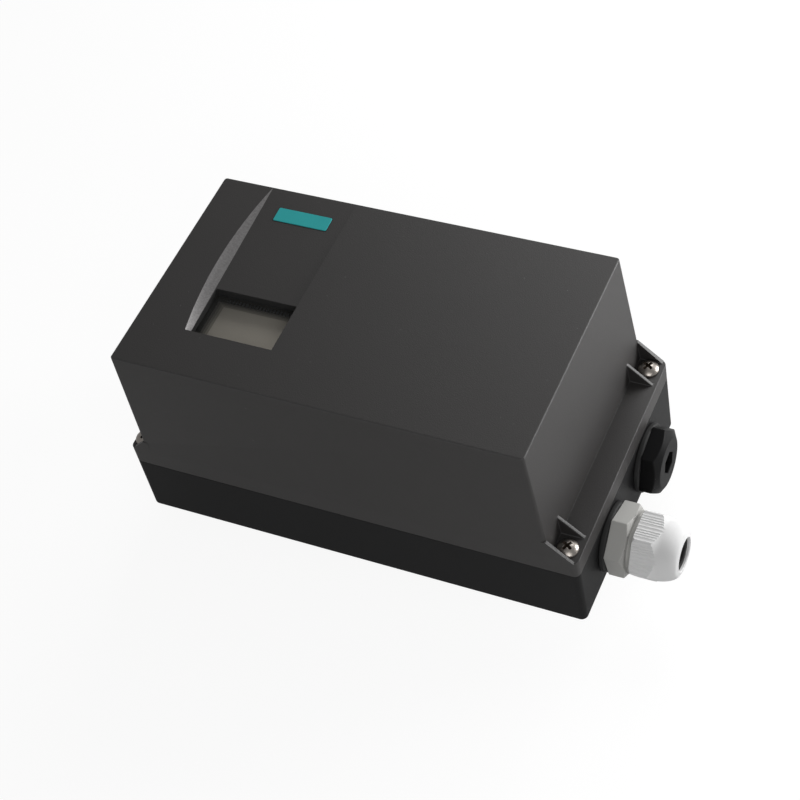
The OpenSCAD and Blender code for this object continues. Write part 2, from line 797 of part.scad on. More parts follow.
module port_strip() {
    color("#8d8e90")
    difference() {
        box([strip_x0, -strip_w / 2, strip_z0], [strip_x1, strip_w / 2, strip_z0 + strip_h]);
        for (y = port_y) {
            along_x(strip_x0 - over, y, entry_z) cylinder(d = port_d, h = port_depth + over);
            along_x(strip_x0, y, entry_z) cylinder(d = duct_d, h = strip_proud + strip_sunk + over);
        }
        for (s = [-1, 1])
            along_x(strip_x0 - over, s * restrictor_y, entry_z)
                cylinder(r = restrictor_d / 2 + run_gap, h = restrictor_sunk + restrictor_l + fit_gap + over);
        at_strip_screws() {
            translate([0, 0, -over])
                cylinder(r = strip_screw_d / 2 + fit_gap, h = strip_proud + strip_sunk + 2 * over);
            translate([0, 0, -over]) cylinder(r = strip_head_r + fit_gap, h = strip_screw_d + over);
        }
    }
}

module strip_gasket() {
    color("#161616")
    difference() {
        box([strip_x1, -strip_w / 2, strip_z0],
            [strip_x1 + strip_gasket_t, strip_w / 2, strip_z0 + strip_h]);
        for (y = port_y)
            along_x(strip_x1 - over, y, entry_z) cylinder(d = duct_d, h = strip_gasket_t + 2 * over);
        at_strip_screws()
            cylinder(r = strip_screw_d / 2 + fit_gap, h = strip_screw_l);
    }
}

module strip_screws() {
    color("#c4c3c1")
    at_strip_screws() difference() {
        union() {
            cylinder(r = strip_head_r, h = strip_screw_d);
            cylinder(d = strip_screw_d, h = strip_screw_l);
        }
        translate([0, 0, -over]) hex_prism(strip_screw_d * 0.8, over + strip_screw_d / 2);
    }
}

// Adjusting screw that narrows one outlet, with a hexagon socket
module restrictor(y) {
    color("#c2a35a")
    along_x(strip_x0 + restrictor_sunk, y, entry_z) difference() {
        cylinder(d = restrictor_d, h = restrictor_l);
        translate([0, 0, -over]) hex_prism(restrictor_d / 2, 2.5 + over);
    }
}

module restrictor_1() {
    restrictor(-restrictor_y);
}

module restrictor_2() {
    restrictor(restrictor_y);
}

module silencer() {
    color("#d9d8d2")
    translate([silencer_x, 0, 0]) difference() {
        cylinder(d = silencer_d, h = silencer_t + fit_gap);
        for (a = [0:60:300])
            rotate(a) translate([silencer_d / 4, 0, -over]) cylinder(d = 2, h = 1.4 + over);
    }
}

module bracket_inserts() {
    color("#b08d45")
    at_bracket_threads() ring(bracket_insert_d / 2, bracket_d / 2, bracket_insert_l);
}

module shaft_bush() {
    color("#b4813c")
    translate([0, 0, bush_z0]) ring(bush_r, shaft_r + run_gap, bush_l);
}

module shaft_seal() {
    color("#1a1a1a")
    translate([0, 0, circlip_t + fit_gap])
        ring(recess_r, shaft_r + run_gap, recess_h - circlip_t - fit_gap);
}

module feedback_shaft() {
    color("#b7b8ba")
    difference() {
        union() {
            translate([0, 0, -shaft_out]) cylinder(r = shaft_r, h = shaft_out + bush_z1 + fit_gap);
            translate([0, 0, bush_z1 + fit_gap]) cylinder(r = shaft_r + 2, h = shoulder_t);
            translate([0, 0, hub_z0]) cylinder(r = spindle_r, h = shaft_top - hub_z0);
        }
        box([-shaft_r, shaft_r - shaft_flat, -shaft_out - over],
            [shaft_r, shaft_d, shaft_flat_l - shaft_out]);
        ring(shaft_d, shaft_r - circlip_groove, circlip_t);
        translate([0, 0, wheel_z1]) ring(shaft_d, spindle_r - circlip_groove, circlip_t);
    }
}

// Retaining ring with a gap to spring it over the shaft
module circlip(r) {
    difference() {
        ring(r + 1.6, r - circlip_groove + circlip_grip, circlip_t);
        translate([0, -r / 2, -over]) cube([r + 4, r, circlip_t + 2 * over]);
    }
}

module shaft_circlips() {
    color("#77787a")
    {
        circlip(shaft_r);
        translate([0, 0, wheel_z1]) circlip(spindle_r);
    }
}

module clutch_hub() {
    color("#b99a4f")
    difference() {
        union() {
            translate([0, 0, hub_z0]) cylinder(d = hub_d, h = hub_l);
            translate([0, 0, gear_z0 - 2]) cylinder(d = hub_d + 8, h = 2);
        }
        translate([0, 0, hub_z0 - over]) cylinder(r = spindle_r + run_gap, h = hub_l + 2 * over);
    }
}

module drive_gear() {
    rim_r = gear_pitch_r - 4 * gear_module;
    seat_r = hub_d / 2 + 4;
    web = gear_w / 3;
    color("#e4e2da")
    translate([0, 0, gear_z0]) difference() {
        linear_extrude(gear_w) rotate(180) polygon(gear_outline(gear_teeth));
        translate([0, 0, -over]) cylinder(r = spindle_r + run_gap, h = gear_w + 2 * over);
        translate([0, 0, web]) ring(rim_r, seat_r, gear_w);
        for (a = [30:60:330])
            rotate(a) translate([(rim_r + seat_r) / 2, 0, -over])
                cylinder(r = (rim_r - seat_r) / 2 - 1, h = gear_w);
    }
}

module clutch_spring() {
    color("#9a9b9d")
    translate([0, 0, gear_z1]) difference() {
        ring(hub_d / 2 + 2, spindle_r + run_gap, spring_t);
        for (a = [0:120:240])
            rotate(a) translate([0, -1.5, spring_t / 2]) cube([hub_d, 3, spring_t]);
    }
}

module clutch_wheel() {
    grips = 24;
    color("#e3b11c")
    translate([0, 0, wheel_z0]) difference() {
        cylinder(d = wheel_d, h = wheel_h);
        translate([0, 0, -over]) cylinder(r = spindle_r + run_gap, h = wheel_h + 2 * over);
        for (i = [0:grips - 1])
            rotate(360 * i / grips) translate([wheel_d / 2 + 0.4, 0, -over])
                cylinder(r = 1.3, h = wheel_h + 2 * over, $fn = 24);
        translate([0, 0, wheel_h - 2]) ring(wheel_d / 2 - 3, spindle_r + 4, 2 + over);
    }
}

module pot_body() {
    color("#3b5f8f")
    translate([pot_x, 0, pot_z0]) difference() {
        union() {
            cylinder(r = pot_r, h = pot_h - 2);
            translate([0, 0, pot_h - 2]) cylinder(r = pot_spindle_r + 2, h = 2);
        }
        translate([0, 0, 2]) cylinder(r = pot_spindle_r + run_gap, h = pot_h);
    }
}

module pot_pinion() {
    color("#e4e2da")
    translate([pot_x, 0, 0]) {
        translate([0, 0, pot_z0 + 2 + fit_gap])
            cylinder(r = pot_spindle_r, h = gear_z1 + 2 * pinion_over - pot_z0 - 2);
        translate([0, 0, gear_z0 - pinion_over]) linear_extrude(gear_w + 2 * pinion_over)
            rotate(180 / pinion_teeth) polygon(gear_outline(pinion_teeth));
    }
}

module manifold() {
    color("#6c6d70")
    difference() {
        box([block_x0, -block_half, floor_t], [block_x1, block_half, manifold_z1]);
        for (y = port_y) {
            along_x(block_x0 - over, y, entry_z) cylinder(d = duct_d, h = riser_x - block_x0 + over);
            translate([riser_x, y, entry_z]) cylinder(d = duct_d, h = manifold_z1 - entry_z + over);
        }
        translate([exhaust_x, 0, floor_t - over]) cylinder(d = duct_d, h = manifold_h + 2 * over);
        box([silencer_x - duct_d / 2, -duct_d / 2, floor_t - over],
            [exhaust_x, duct_d / 2, floor_t + 2]);
    }
}

module manifold_gasket() {
    color("#161616")
    difference() {
        box([valve_x0, -block_half, manifold_z1], [valve_x1, block_half, valve_z0]);
        for (y = port_y)
            translate([riser_x, y, manifold_z1 - over])
                cylinder(d = duct_d, h = block_gasket_t + 2 * over);
        translate([exhaust_x, 0, manifold_z1 - over])
            cylinder(d = duct_d, h = block_gasket_t + 2 * over);
    }
}

module valve_block() {
    color("#4b4c4f")
    difference() {
        box([valve_x0, -block_half, valve_z0], [valve_x1, block_half, valve_z1]);
        for (y = port_y)
            along_x(valve_x1 - 4, y, valve_z0 + valve_h / 2) cylinder(d = 9, h = 4 + over);
        translate([purge_x(), far_strip_y, valve_z1 - 8])
            cylinder(r = selector_d / 4 + run_gap, h = 8 + over);
    }
}

// Place of the purge selector along the valve block
function purge_x() = valve_x1 - selector_d / 2 - 3;

module pilot_valves() {
    room_x0 = valve_x0 + pilot_gap;
    room_x1 = purge_x() - selector_d / 2 - pilot_gap;
    pilot_l = (room_x1 - room_x0 - pilot_gap) / 2;
    color("#2f3133")
    for (i = [0, 1])
        translate([room_x0 + i * (pilot_l + pilot_gap), far_strip_y - pilot_w / 2, valve_z1]) difference() {
            cube([pilot_l, pilot_w, pilot_h]);
            translate([1, -over, pilot_h - 2]) cube([pilot_l - 2, pilot_w + 2 * over, 2 + over]);
        }
}

module purge_selector() {
    color("#c23a2c")
    translate([purge_x(), far_strip_y, valve_z1]) difference() {
        union() {
            translate([0, 0, 0.2]) cylinder(d = selector_d, h = selector_h);
            translate([0, 0, -7.5]) cylinder(d = selector_d / 2, h = 8);
        }
        translate([-selector_d, -0.6, selector_h - 1.3]) cube([2 * selector_d, 1.2, 3]);
    }
}

module main_board() {
    color("#2f6b45")
    difference() {
        union() {
            box([board_x0, board_y0, board_z0], [board_x1, board_y1, board_z1]);
            box([standoff_x - 6, -block_half, board_z0], [board_x1, block_half, board_z1]);
        }
        translate([0, 0, board_z0 - over]) cylinder(r = wheel_hole_r, h = board_t + 2 * over);
        translate([0, 0, board_z0 - over]) {
            at_short_standoffs() cylinder(r = 1.6, h = board_t + 2 * over);
            at_tall_standoffs() cylinder(r = 1.6, h = board_t + 2 * over);
        }
    }
}

module board_standoffs() {
    color("#b99a4f")
    {
        at_short_standoffs() translate([0, 0, valve_z1]) threaded_post(standoff_h);
        at_tall_standoffs() translate([0, 0, insert_boss_h]) threaded_post(board_z0 - insert_boss_h);
    }
}

// Hexagonal post with a thread in its top
module threaded_post(h) {
    difference() {
        hex_prism(standoff_af, h);
        translate([0, 0, h - 6]) cylinder(r = 1.5 + fit_gap, h = 6 + over);
    }
}

module board_screws() {
    color("#c4c3c1")
    {
        at_short_standoffs() board_screw();
        at_tall_standoffs() board_screw();
    }
}

// Screw through the board into a post
module board_screw() {
    translate([0, 0, board_z1]) difference() {
        union() {
            cylinder(r = 2.6, h = 1.8);
            translate([0, 0, -board_t - 4]) cylinder(r = 1.5, h = board_t + 4);
        }
        translate([-3, -0.4, 1]) cube([6, 0.8, 1]);
    }
}

module module_cover() {
    post_r = 2;
    screw_room = 3.2;
    color("#5a5b5d")
    difference() {
        union() {
            difference() {
                translate([0, 0, board_z1]) linear_extrude(module_z1 - board_z1)
                    rounded_rect(module_x0, module_x1, module_y0, module_y1, 2);
                box([module_x0 + module_wall, module_y0 + module_wall, board_z1 - over],
                    [module_x1 - module_wall, module_y1 - module_wall, module_z1 - module_wall]);
            }
            at_small_board_posts() translate([0, 0, small_board_z0 + board_t])
                cylinder(r = post_r, h = module_z1 - module_wall / 2 - small_board_z0 - board_t);
        }
        for (x = key_x)
            translate([x, key_y, module_z1 - module_wall - over])
                cylinder(r = key_r + key_hole_gap, h = module_wall + 2 * over);
        at_short_standoffs() translate([0, 0, board_z1 - over])
            cylinder(r = screw_room, h = 3 + over);
    }
}

// Copies at the posts that carry the small board, between the keys
module at_small_board_posts() {
    for (x = [key_x[1] - key_pitch / 2, key_x[1] + key_pitch / 2], s = [-1, 1])
        translate([x, key_y + s * small_post_y, 0]) children();
}

module display_board() {
    color("#2f6b45")
    box([key_x[0] - small_board_lap, key_y - small_board_lap, small_board_z0],
        [key_x[2] + small_board_lap, key_y + small_board_lap, small_board_z0 + board_t]);
}

module key_switches() {
    color("#3a3a3c")
    for (x = key_x)
        translate([x, key_y, switch_z0]) {
            translate([-3, -3, 0]) cube([6, 6, switch_h * 0.7]);
            cylinder(r = 1.7, h = switch_h);
        }
}

module display() {
    color("#8b8f88")
    difference() {
        box([display_x0, display_y0, module_z1], [display_x1, display_y1, display_z1]);
        box([display_x0 - over, display_y0 - over, module_z1 + display_t / 2],
            [display_x0 + 1.5, display_y1 + over, display_z1 + over]);
    }
}

module display_frame() {
    color("#2d2d2f")
    difference() {
        translate([0, 0, module_z1]) linear_extrude(display_t + display_gap / 3)
            rounded_rect(display_x0 - frame_w, display_x1 + frame_w,
                display_y0 - frame_w, display_y1 + frame_w, 1.5);
        box([display_x0 - fit_gap, display_y0 - fit_gap, module_z1 - over],
            [display_x1 + fit_gap, display_y1 + fit_gap, display_z1 + display_gap]);
    }
}

// Push key with a flange that holds it under the module cover
module key(i) {
    color("#d7d5d0")
    translate([key_x[i], key_y, 0]) {
        translate([0, 0, key_flange_z0]) cylinder(r = key_r + 1, h = key_flange_z1 - key_flange_z0);
        translate([0, 0, key_flange_z0]) cylinder(r = key_r, h = module_z1 + key_proud - key_flange_z0 - 0.8);
        translate([0, 0, module_z1 + key_proud - 0.8]) cylinder(r1 = key_r, r2 = key_r - 0.8, h = 0.8);
    }
}

module key_hand() {
    key(0);
}

module key_minus() {
    key(1);
}

module key_plus() {
    key(2);
}

// Copies at the terminals, counted along the block
module at_terminals() {
    for (i = [0:terminal_count - 1])
        translate([0, (i - (terminal_count - 1) / 2) * terminal_pitch, 0]) children();
}

module terminal_block() {
    color("#4f7d54")
    difference() {
        box([terminal_x0, -terminal_half, board_z1], [terminal_x1, terminal_half, board_z1 + terminal_h]);
        at_terminals() {
            translate([terminal_x0 + terminal_l * 0.35, 0, board_z1 + terminal_h - 5])
                cylinder(r = 1.9, h = 5 + over);
            translate([terminal_x1 - 5, -1.8, board_z1 + 2]) cube([5 + over, 3.6, 4]);
        }
        translate([terminal_x1 - 3, -terminal_half - over, board_z1 + terminal_h - 3])
            cube([3 + over, 2 * terminal_half + 2 * over, 3 + over]);
    }
}

module terminal_screws() {
    color("#c4c3c1")
    at_terminals() translate([terminal_x0 + terminal_l * 0.35, 0, board_z1 + terminal_h - 5])
        difference() {
            cylinder(r = 1.8, h = 4);
            translate([-3, -0.3, 3.2]) cube([6, 0.6, 1]);
        }
}

module ratio_rail() {
    color("#2d2d2f")
    translate([-rail_l / 2, rail_y, board_z1]) {
        translate([0, -rail_w / 2, 0]) cube([rail_l, rail_w, rail_h]);
        for (x = [0, rail_l - rail_stop])
            translate([x, -rail_w / 2 - slider_wall, 0])
                cube([rail_stop, rail_w + 2 * slider_wall, rail_h + 1.5]);
    }
}

module ratio_selector() {
    gap = fit_gap;
    color("#e3b11c")
    translate([rail_stop - rail_l / 2 + gap, rail_y, board_z1 + gap]) difference() {
        union() {
            translate([0, -rail_w / 2 - slider_wall, 0])
                cube([slider_l - 2 * gap, rail_w + 2 * slider_wall, rail_h + 2]);
            for (x = [0, 2, 4])
                translate([slider_l / 2 - 2.5 - gap + x, -rail_w / 2 - slider_wall, rail_h + 2])
                    cube([1, rail_w + 2 * slider_wall, 1.4]);
        }
        translate([-over, -rail_w / 2 - gap, -over])
            cube([slider_l + 2 * over, rail_w + 2 * gap, rail_h + gap + over]);
    }
}

enclosure_base();
enclosure_cover();
cover_gasket();
cover_screws();
cover_inserts();
window_pane();
badge_plate();
gland_body();
gland_washer();
gland_seal();
gland_nut();
blanking_plug();
plug_washer();
port_strip();
strip_gasket();
strip_screws();
restrictor_1();
restrictor_2();
silencer();
bracket_inserts();
shaft_bush();
shaft_seal();
feedback_shaft();
shaft_circlips();
clutch_hub();
drive_gear();
clutch_spring();
clutch_wheel();
pot_body();
pot_pinion();
manifold();
manifold_gasket();
valve_block();
pilot_valves();
purge_selector();
main_board();
board_standoffs();
board_screws();
module_cover();
display();
display_frame();
display_board();
key_switches();
key_hand();
key_minus();
key_plus();
terminal_block();
terminal_screws();
ratio_rail();
ratio_selector();
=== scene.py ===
"""Looks of a valve positioner: mouldings, cable gland, screws, display, boards and stage."""

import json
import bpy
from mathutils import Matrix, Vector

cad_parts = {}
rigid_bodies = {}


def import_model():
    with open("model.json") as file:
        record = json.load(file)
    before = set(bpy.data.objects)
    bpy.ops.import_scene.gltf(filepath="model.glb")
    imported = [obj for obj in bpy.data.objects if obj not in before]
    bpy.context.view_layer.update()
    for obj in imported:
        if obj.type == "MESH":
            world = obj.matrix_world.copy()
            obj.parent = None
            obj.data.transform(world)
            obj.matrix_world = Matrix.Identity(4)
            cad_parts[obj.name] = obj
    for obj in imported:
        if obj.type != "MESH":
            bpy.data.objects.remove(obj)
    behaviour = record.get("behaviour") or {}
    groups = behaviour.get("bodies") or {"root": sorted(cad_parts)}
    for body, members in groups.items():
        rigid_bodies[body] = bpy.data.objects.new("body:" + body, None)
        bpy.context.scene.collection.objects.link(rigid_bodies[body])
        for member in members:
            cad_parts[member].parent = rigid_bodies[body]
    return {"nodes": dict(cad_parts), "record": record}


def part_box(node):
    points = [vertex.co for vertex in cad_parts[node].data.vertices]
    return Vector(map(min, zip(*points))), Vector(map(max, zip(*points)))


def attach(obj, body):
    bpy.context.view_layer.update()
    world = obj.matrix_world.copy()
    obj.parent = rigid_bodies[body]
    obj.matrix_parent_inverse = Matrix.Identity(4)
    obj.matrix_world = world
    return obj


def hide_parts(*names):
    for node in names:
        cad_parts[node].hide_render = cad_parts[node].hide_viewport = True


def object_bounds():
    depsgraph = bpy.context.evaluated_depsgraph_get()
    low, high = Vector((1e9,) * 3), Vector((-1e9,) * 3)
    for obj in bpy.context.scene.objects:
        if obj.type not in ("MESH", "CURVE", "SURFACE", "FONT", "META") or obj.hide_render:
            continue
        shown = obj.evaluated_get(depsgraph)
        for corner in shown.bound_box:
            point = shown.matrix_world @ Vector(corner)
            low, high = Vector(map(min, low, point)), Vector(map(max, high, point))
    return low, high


bl_info = {
    "name": "Valve positioner",
    "version": (1, 0, 0),
    "blender": (4, 5, 0),
    "location": "View3D > Sidebar > Positioner",
    "description": "Dresses the CAD frame of a valve positioner and sets its stage",
    "category": "Object",
}

from math import asin, atan2, cos, degrees, radians, sin, sqrt, tan

import bpy
from bpy.props import FloatProperty, FloatVectorProperty, IntProperty, PointerProperty
from mathutils import Matrix, Vector

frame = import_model()
record = frame["record"]
cad_low, cad_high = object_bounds()

# Lengths in metres, angles in radians
MM = 0.001
MERGE = 0.002 * MM
NEAR = 0.01 * MM
FLAT = radians(1.0)
SHARP = radians(25)
SMOOTH = radians(33)
ALONG_X = (0, radians(90), 0)
HEAD_H = 2.6 * MM

BODY_OF = {node: body for body, nodes in record["behaviour"]["bodies"].items() for node in nodes}
SLOT_OF = {part["node"]: part["material_slot"] for part in record["subparts"]}


# User settings

def a_length(name, description, millimetres):
    return FloatProperty(
        name=name, description=description, default=millimetres * MM, unit="LENGTH")


def a_colour(name, description, red, green, blue):
    return FloatVectorProperty(
        name=name, description=description, default=(red, green, blue, 1), size=4, subtype="COLOR")


def a_power(name, description, watts):
    return FloatProperty(name=name, description=description, default=watts, unit="POWER")


class PositionerSizes(bpy.types.PropertyGroup):
    """Sizes of the details that are modelled over the CAD frame."""

    moulded_edge: a_length("Moulded edge", "Rounding of the enclosure's edges", 0.25)
    machined_edge: a_length("Machined edge", "Broken edges of the metal pieces", 0.2)
    ribs_per_flat: IntProperty(
        name="Ribs per flat", description="Grip ribs on each flat of the gland nut",
        default=13, min=4, max=24)
    rib_depth: a_length("Rib depth", "Depth of the grooves between the grip ribs", 0.18)
    nut_hexagon: a_length("Nut hexagon", "Length of the gland nut's ribbed hexagon", 9)
    nut_opening: a_length("Nut opening", "Diameter of the gland nut's opening", 12.4)
    pane_lap: a_length("Pane lap", "How far the pane laps under the window's edge", 3)
    # Sizes of the black sheet that paints shade on the walls of the window opening.
    shade_sheet_height: a_length("Liner height", "Height of the black liner in the window", 1.9)
    shade_sheet_rise: a_length("Liner rise", "How much higher the liner is at the far side", 0.6)
    thread_pitch: a_length("Thread pitch", "Pitch of the visible threads", 1.3)
    thread_depth: a_length("Thread depth", "Depth of the visible threads", 0.6)


class PositionerColours(bpy.types.PropertyGroup):
    """Colours that a user would change."""

    cover: a_colour("Cover", "Moulded cover", 0.0245, 0.0226, 0.0220)
    # The base is a darker shade of the cover's plastic: painted shade.
    base: a_colour("Base", "Moulded base", 0.0145, 0.0145, 0.0149)
    gland: a_colour("Gland", "Cable gland", 0.44, 0.437, 0.42)
    plug: a_colour("Plug", "Blanking plug", 0.005, 0.005, 0.0053)
    # The edges' colour is the mouldings' plastic made lighter: a painted highlight along the
    # rounded edges.
    edge: a_colour("Edges", "Polished edges of the mouldings", 0.050, 0.0485, 0.0485)
    # The crescent is the cover's plastic: its much lighter colour is a painted sheen.
    crescent: a_colour("Crescent", "Flank beside the panel", 0.205, 0.199, 0.199)
    badge: a_colour("Badge", "Bare badge plate", 0.036, 0.45, 0.46)
    display: a_colour("Display", "Light area of the display", 0.62, 0.575, 0.495)


class PositionerStage(bpy.types.PropertyGroup):
    """Camera and light of the stage."""

    lens: FloatProperty(
        name="Lens", description="Focal length of the camera in millimetres", default=90.56)
    key_power: a_power("Key light", "Power of the large lamp at the cable end", 2.3)
    back_power: a_power("Back light", "Power of the lamp behind and above the object", 1.7)
    front_power: a_power("Front light", "Power of the soft lamp on the near side", 1.4)
    fill: FloatProperty(
        name="Fill", description="Strength of the light from all sides", default=0.14)


# Shader building

class Value:
    """Output of a shader node that can stand in sums and products."""

    def __init__(self, finish, socket):
        self.finish = finish
        self.socket = socket

    def _math(self, operation, a, b):
        return self.finish.add("Math", {0: a, 1: b}, operation=operation)

    def __add__(self, other):
        return self._math("ADD", self, other)

    def __mul__(self, other):
        return self._math("MULTIPLY", self, other)

    def __rsub__(self, other):
        return self._math("SUBTRACT", other, self)

    __radd__ = __add__
    __rmul__ = __mul__


class Finish:
    """A material, or the world, under construction."""

    def __init__(self, name, world=False):
        self.material = (bpy.data.worlds if world else bpy.data.materials).new(name)
        self.material.use_nodes = True
        self.nodes = self.material.node_tree.nodes
        self.links = self.material.node_tree.links
        self.shader = self.nodes["Background" if world else "Principled BSDF"]

    def add(self, kind, inputs=None, output=0, **settings):
        """Adds a shader node: its settings first, then the values or links of its sockets."""
        node = self.nodes.new("ShaderNode" + kind)
        for key, value in settings.items():
            setattr(node, key, value)
        for key, value in (inputs or {}).items():
            self.feed(node.inputs[key], value)
        return Value(self, node.outputs[output])

    def feed(self, socket, value):
        """Links a node's output to a socket, or sets the socket to a plain value."""
        if isinstance(value, Value):
            self.links.new(value.socket, socket)
        else:
            socket.default_value = value

    def surface(self, **sockets):
        """Sets the shader's sockets, named with underscores for spaces."""
        for key, value in sockets.items():
            self.feed(self.shader.inputs[key.replace("_", " ")], value)
        return self.material

    def place(self, stretch=None):
        """Object coordinates, stretched for a grain with a direction."""
        place = self.add("TexCoord", output="Object")
        if not stretch:
            return place
        return self.add("VectorMath", {0: place, 1: stretch}, operation="MULTIPLY")

    def along(self, axis, start, end):
        """Share of the way from start to end along one axis."""
        return self.spread(self.add("SeparateXYZ", {0: self.place()}, axis), start, end)

    def noise(self, size, detail=2, roughness=0.5, stretch=None):
        """Noise whose features measure about the given size in metres."""
        return self.add("TexNoise", {"Vector": self.place(stretch), "Scale": 1 / size,
                                     "Detail": detail, "Roughness": roughness})

    def cells(self, size):
        """Distance to the nearest of many scattered points."""
        return self.add("TexVoronoi", {"Vector": self.place(), "Scale": 1 / size}, "Distance")

    def mix(self, low, high, share):
        """Colour between two colours, whose sockets the node tells apart by number only."""
        colour_a, colour_b, colour_out = 6, 7, 2
        return self.add("Mix", {"Factor": share, colour_a: low, colour_b: high}, colour_out,
                        data_type="RGBA")

    def shades(self, colour, low, high, share):
        """Colour between two shades of one colour."""
        return self.mix(scaled(colour, low), scaled(colour, high), share)

    def spread(self, value, low, high):
        """Stretches a part of a value's span to 0..1."""
        return self.add("MapRange", {"Value": value, "From Min": low, "From Max": high})

    def bump(self, height, depth, strength):
        """Normal of a relief of the given depth in metres."""
        return self.add("Bump", {"Height": height, "Distance": depth, "Strength": strength})

    def seen_white(self, strength, share, shader, output):
        """Shows a plain white to the camera and to panes, and a part of it in reflections."""
        reflected = 0.2
        rays = self.add("LightPath").socket.node.outputs
        camera, through, glossy = (Value(self, rays[kind]) for kind in (
            "Is Camera Ray", "Is Transmission Ray", "Is Glossy Ray"))
        seen = self.add("Clamp", {"Value": camera + through + reflected * glossy})
        white = self.add(shader, {"Color": (1, 1, 1, 1), "Strength": strength})
        shown = self.add("MixShader", {
            0: seen * share, 1: Value(self, self.shader.outputs[0]), 2: white})
        self.feed(self.nodes[output].inputs["Surface"], shown)


def scaled(colour, k):
    """Colour made darker or lighter."""
    return (colour[0] * k, colour[1] * k, colour[2] * k, 1)


# Finishes

def spark_eroded_plastic(name, colour, gloss=0.52, shine=0.58):
    """Moulded plastic with the fine matt grain of a spark-eroded tool and a few dust specks."""
    speckle, dust = 0.16, (0.20, 0.20, 0.20, 1)
    f = Finish(name)
    grain = f.noise(0.35 * MM, 3)
    pits = f.cells(0.45 * MM)
    cloud = f.noise(22 * MM)
    speck = f.spread(f.noise(1.1 * MM, 1), 0.80, 0.84)
    tone = cloud * 0.5 + f.spread(grain, 0.3, 0.7) * 0.5
    body = f.shades(colour, 1 - speckle, 1 + speckle, tone)
    return f.surface(
        Base_Color=f.mix(body, dust, speck * 0.5),
        Roughness=gloss - 0.08 + 0.16 * grain,
        Specular_IOR_Level=shine,
        Normal=f.bump(grain * 0.6 + pits * 0.8, 0.05 * MM, 0.55))


def grain_with_painted_sheen(name, colour, low, high):
    """Coarse grain of the crescent, lighter than the cover's plastic as a painted sheen, with
    painted glints and a painted highlight towards its broad near end.
    """
    near_end_painted_highlight, dull = 2.8, 0.72
    f = Finish(name)
    grain = f.noise(0.8 * MM, 3, 0.7)
    near = f.along("Y", high.y, low.y)
    # Painted highlight: paler towards the broad near end.
    tone = f.mix(colour, scaled(colour, near_end_painted_highlight), near * near)
    # Painted glints: specks of the grain lift the tone.
    painted_glints = f.spread(grain, 0.35, 0.65)
    return f.surface(
        Base_Color=f.mix(f.mix((0, 0, 0, 1), tone, dull), tone, painted_glints),
        Roughness=0.42 + 0.12 * grain,
        Specular_IOR_Level=0.3,
        Normal=f.bump(grain, 0.06 * MM, 0.6))


def satin_plastic(name, colour, gloss=0.42, shine=0.3):
    """Smooth moulded plastic with faint flow marks."""
    f = Finish(name)
    flow = f.noise(5 * MM, 3, stretch=(1, 0.35, 0.35))
    grain = f.noise(0.25 * MM)
    return f.surface(
        Base_Color=f.shades(colour, 0.93, 1.06, flow),
        Roughness=gloss - 0.05 + 0.12 * flow,
        Specular_IOR_Level=shine,
        Normal=f.bump(grain, 0.012 * MM, 0.5))


def rubber(name, colour):
    """Matt rubber with a powdery bloom."""
    f = Finish(name)
    bloom = f.noise(3 * MM, 4, 0.6)
    grain = f.noise(0.3 * MM)
    return f.surface(
        Base_Color=f.shades(colour, 0.8, 1.5, bloom),
        Roughness=0.6 + 0.2 * bloom,
        Specular_IOR_Level=0.3,
        Normal=f.bump(grain, 0.02 * MM, 0.5))


def turned_metal(name, colour, gloss):
    """Bright metal with fine tool marks and slight tarnish."""
    f = Finish(name)
    marks = f.noise(0.25 * MM, 3, 0.6)
    tarnish = f.noise(2.5 * MM, 3)
    return f.surface(
        Base_Color=f.shades(colour, 0.78, 1.08, tarnish),
        Metallic=1.0,
        Roughness=gloss + 0.14 * tarnish + 0.06 * marks,
        Normal=f.bump(marks, 0.01 * MM, 0.4))


def anodised_metal(name, colour):
    """Milled aluminium with an anodised skin."""
    f = Finish(name)
    lay = f.noise(0.5 * MM, 4, 0.6, (1, 0.06, 1))
    cloud = f.noise(9 * MM)
    return f.surface(
        Base_Color=f.shades(colour, 0.82, 1.1, lay * 0.5 + cloud * 0.5),
        Metallic=1.0,
        Roughness=0.38 + 0.16 * lay,
        Normal=f.bump(lay, 0.012 * MM, 0.5))


def sintered_plastic(name, colour):
    """Porous disc of sintered grains."""
    f = Finish(name)
    grains = f.cells(0.6 * MM)
    return f.surface(
        Base_Color=f.shades(colour, 1.05, 0.6, f.spread(grains, 0.2, 0.8)),
        Roughness=0.8,
        Normal=f.bump(1 - grains, 0.2 * MM, 0.8))


def board_laminate(name, colour):
    """Solder-masked board with copper tracks showing through as paler lines."""
    f = Finish(name)
    tracks = f.add("TexBrick", {
        "Vector": f.place(), "Scale": 1 / (9 * MM), "Mortar Size": 0.035, "Mortar Smooth": 0.1,
        "Brick Width": 0.62, "Row Height": 0.17
    }, "Fac", offset=0.37, squash=1.6, squash_frequency=3)
    weave = f.noise(0.6 * MM, stretch=(1, 4, 1))
    mask = f.shades(colour, 0.85, 1.1, weave)
    return f.surface(
        Base_Color=f.mix(mask, scaled(colour, 1.9), tracks * 0.7),
        Roughness=0.32 + 0.12 * weave,
        Normal=f.bump(tracks * 0.8 + weave * 0.2, 0.03 * MM, 0.5))


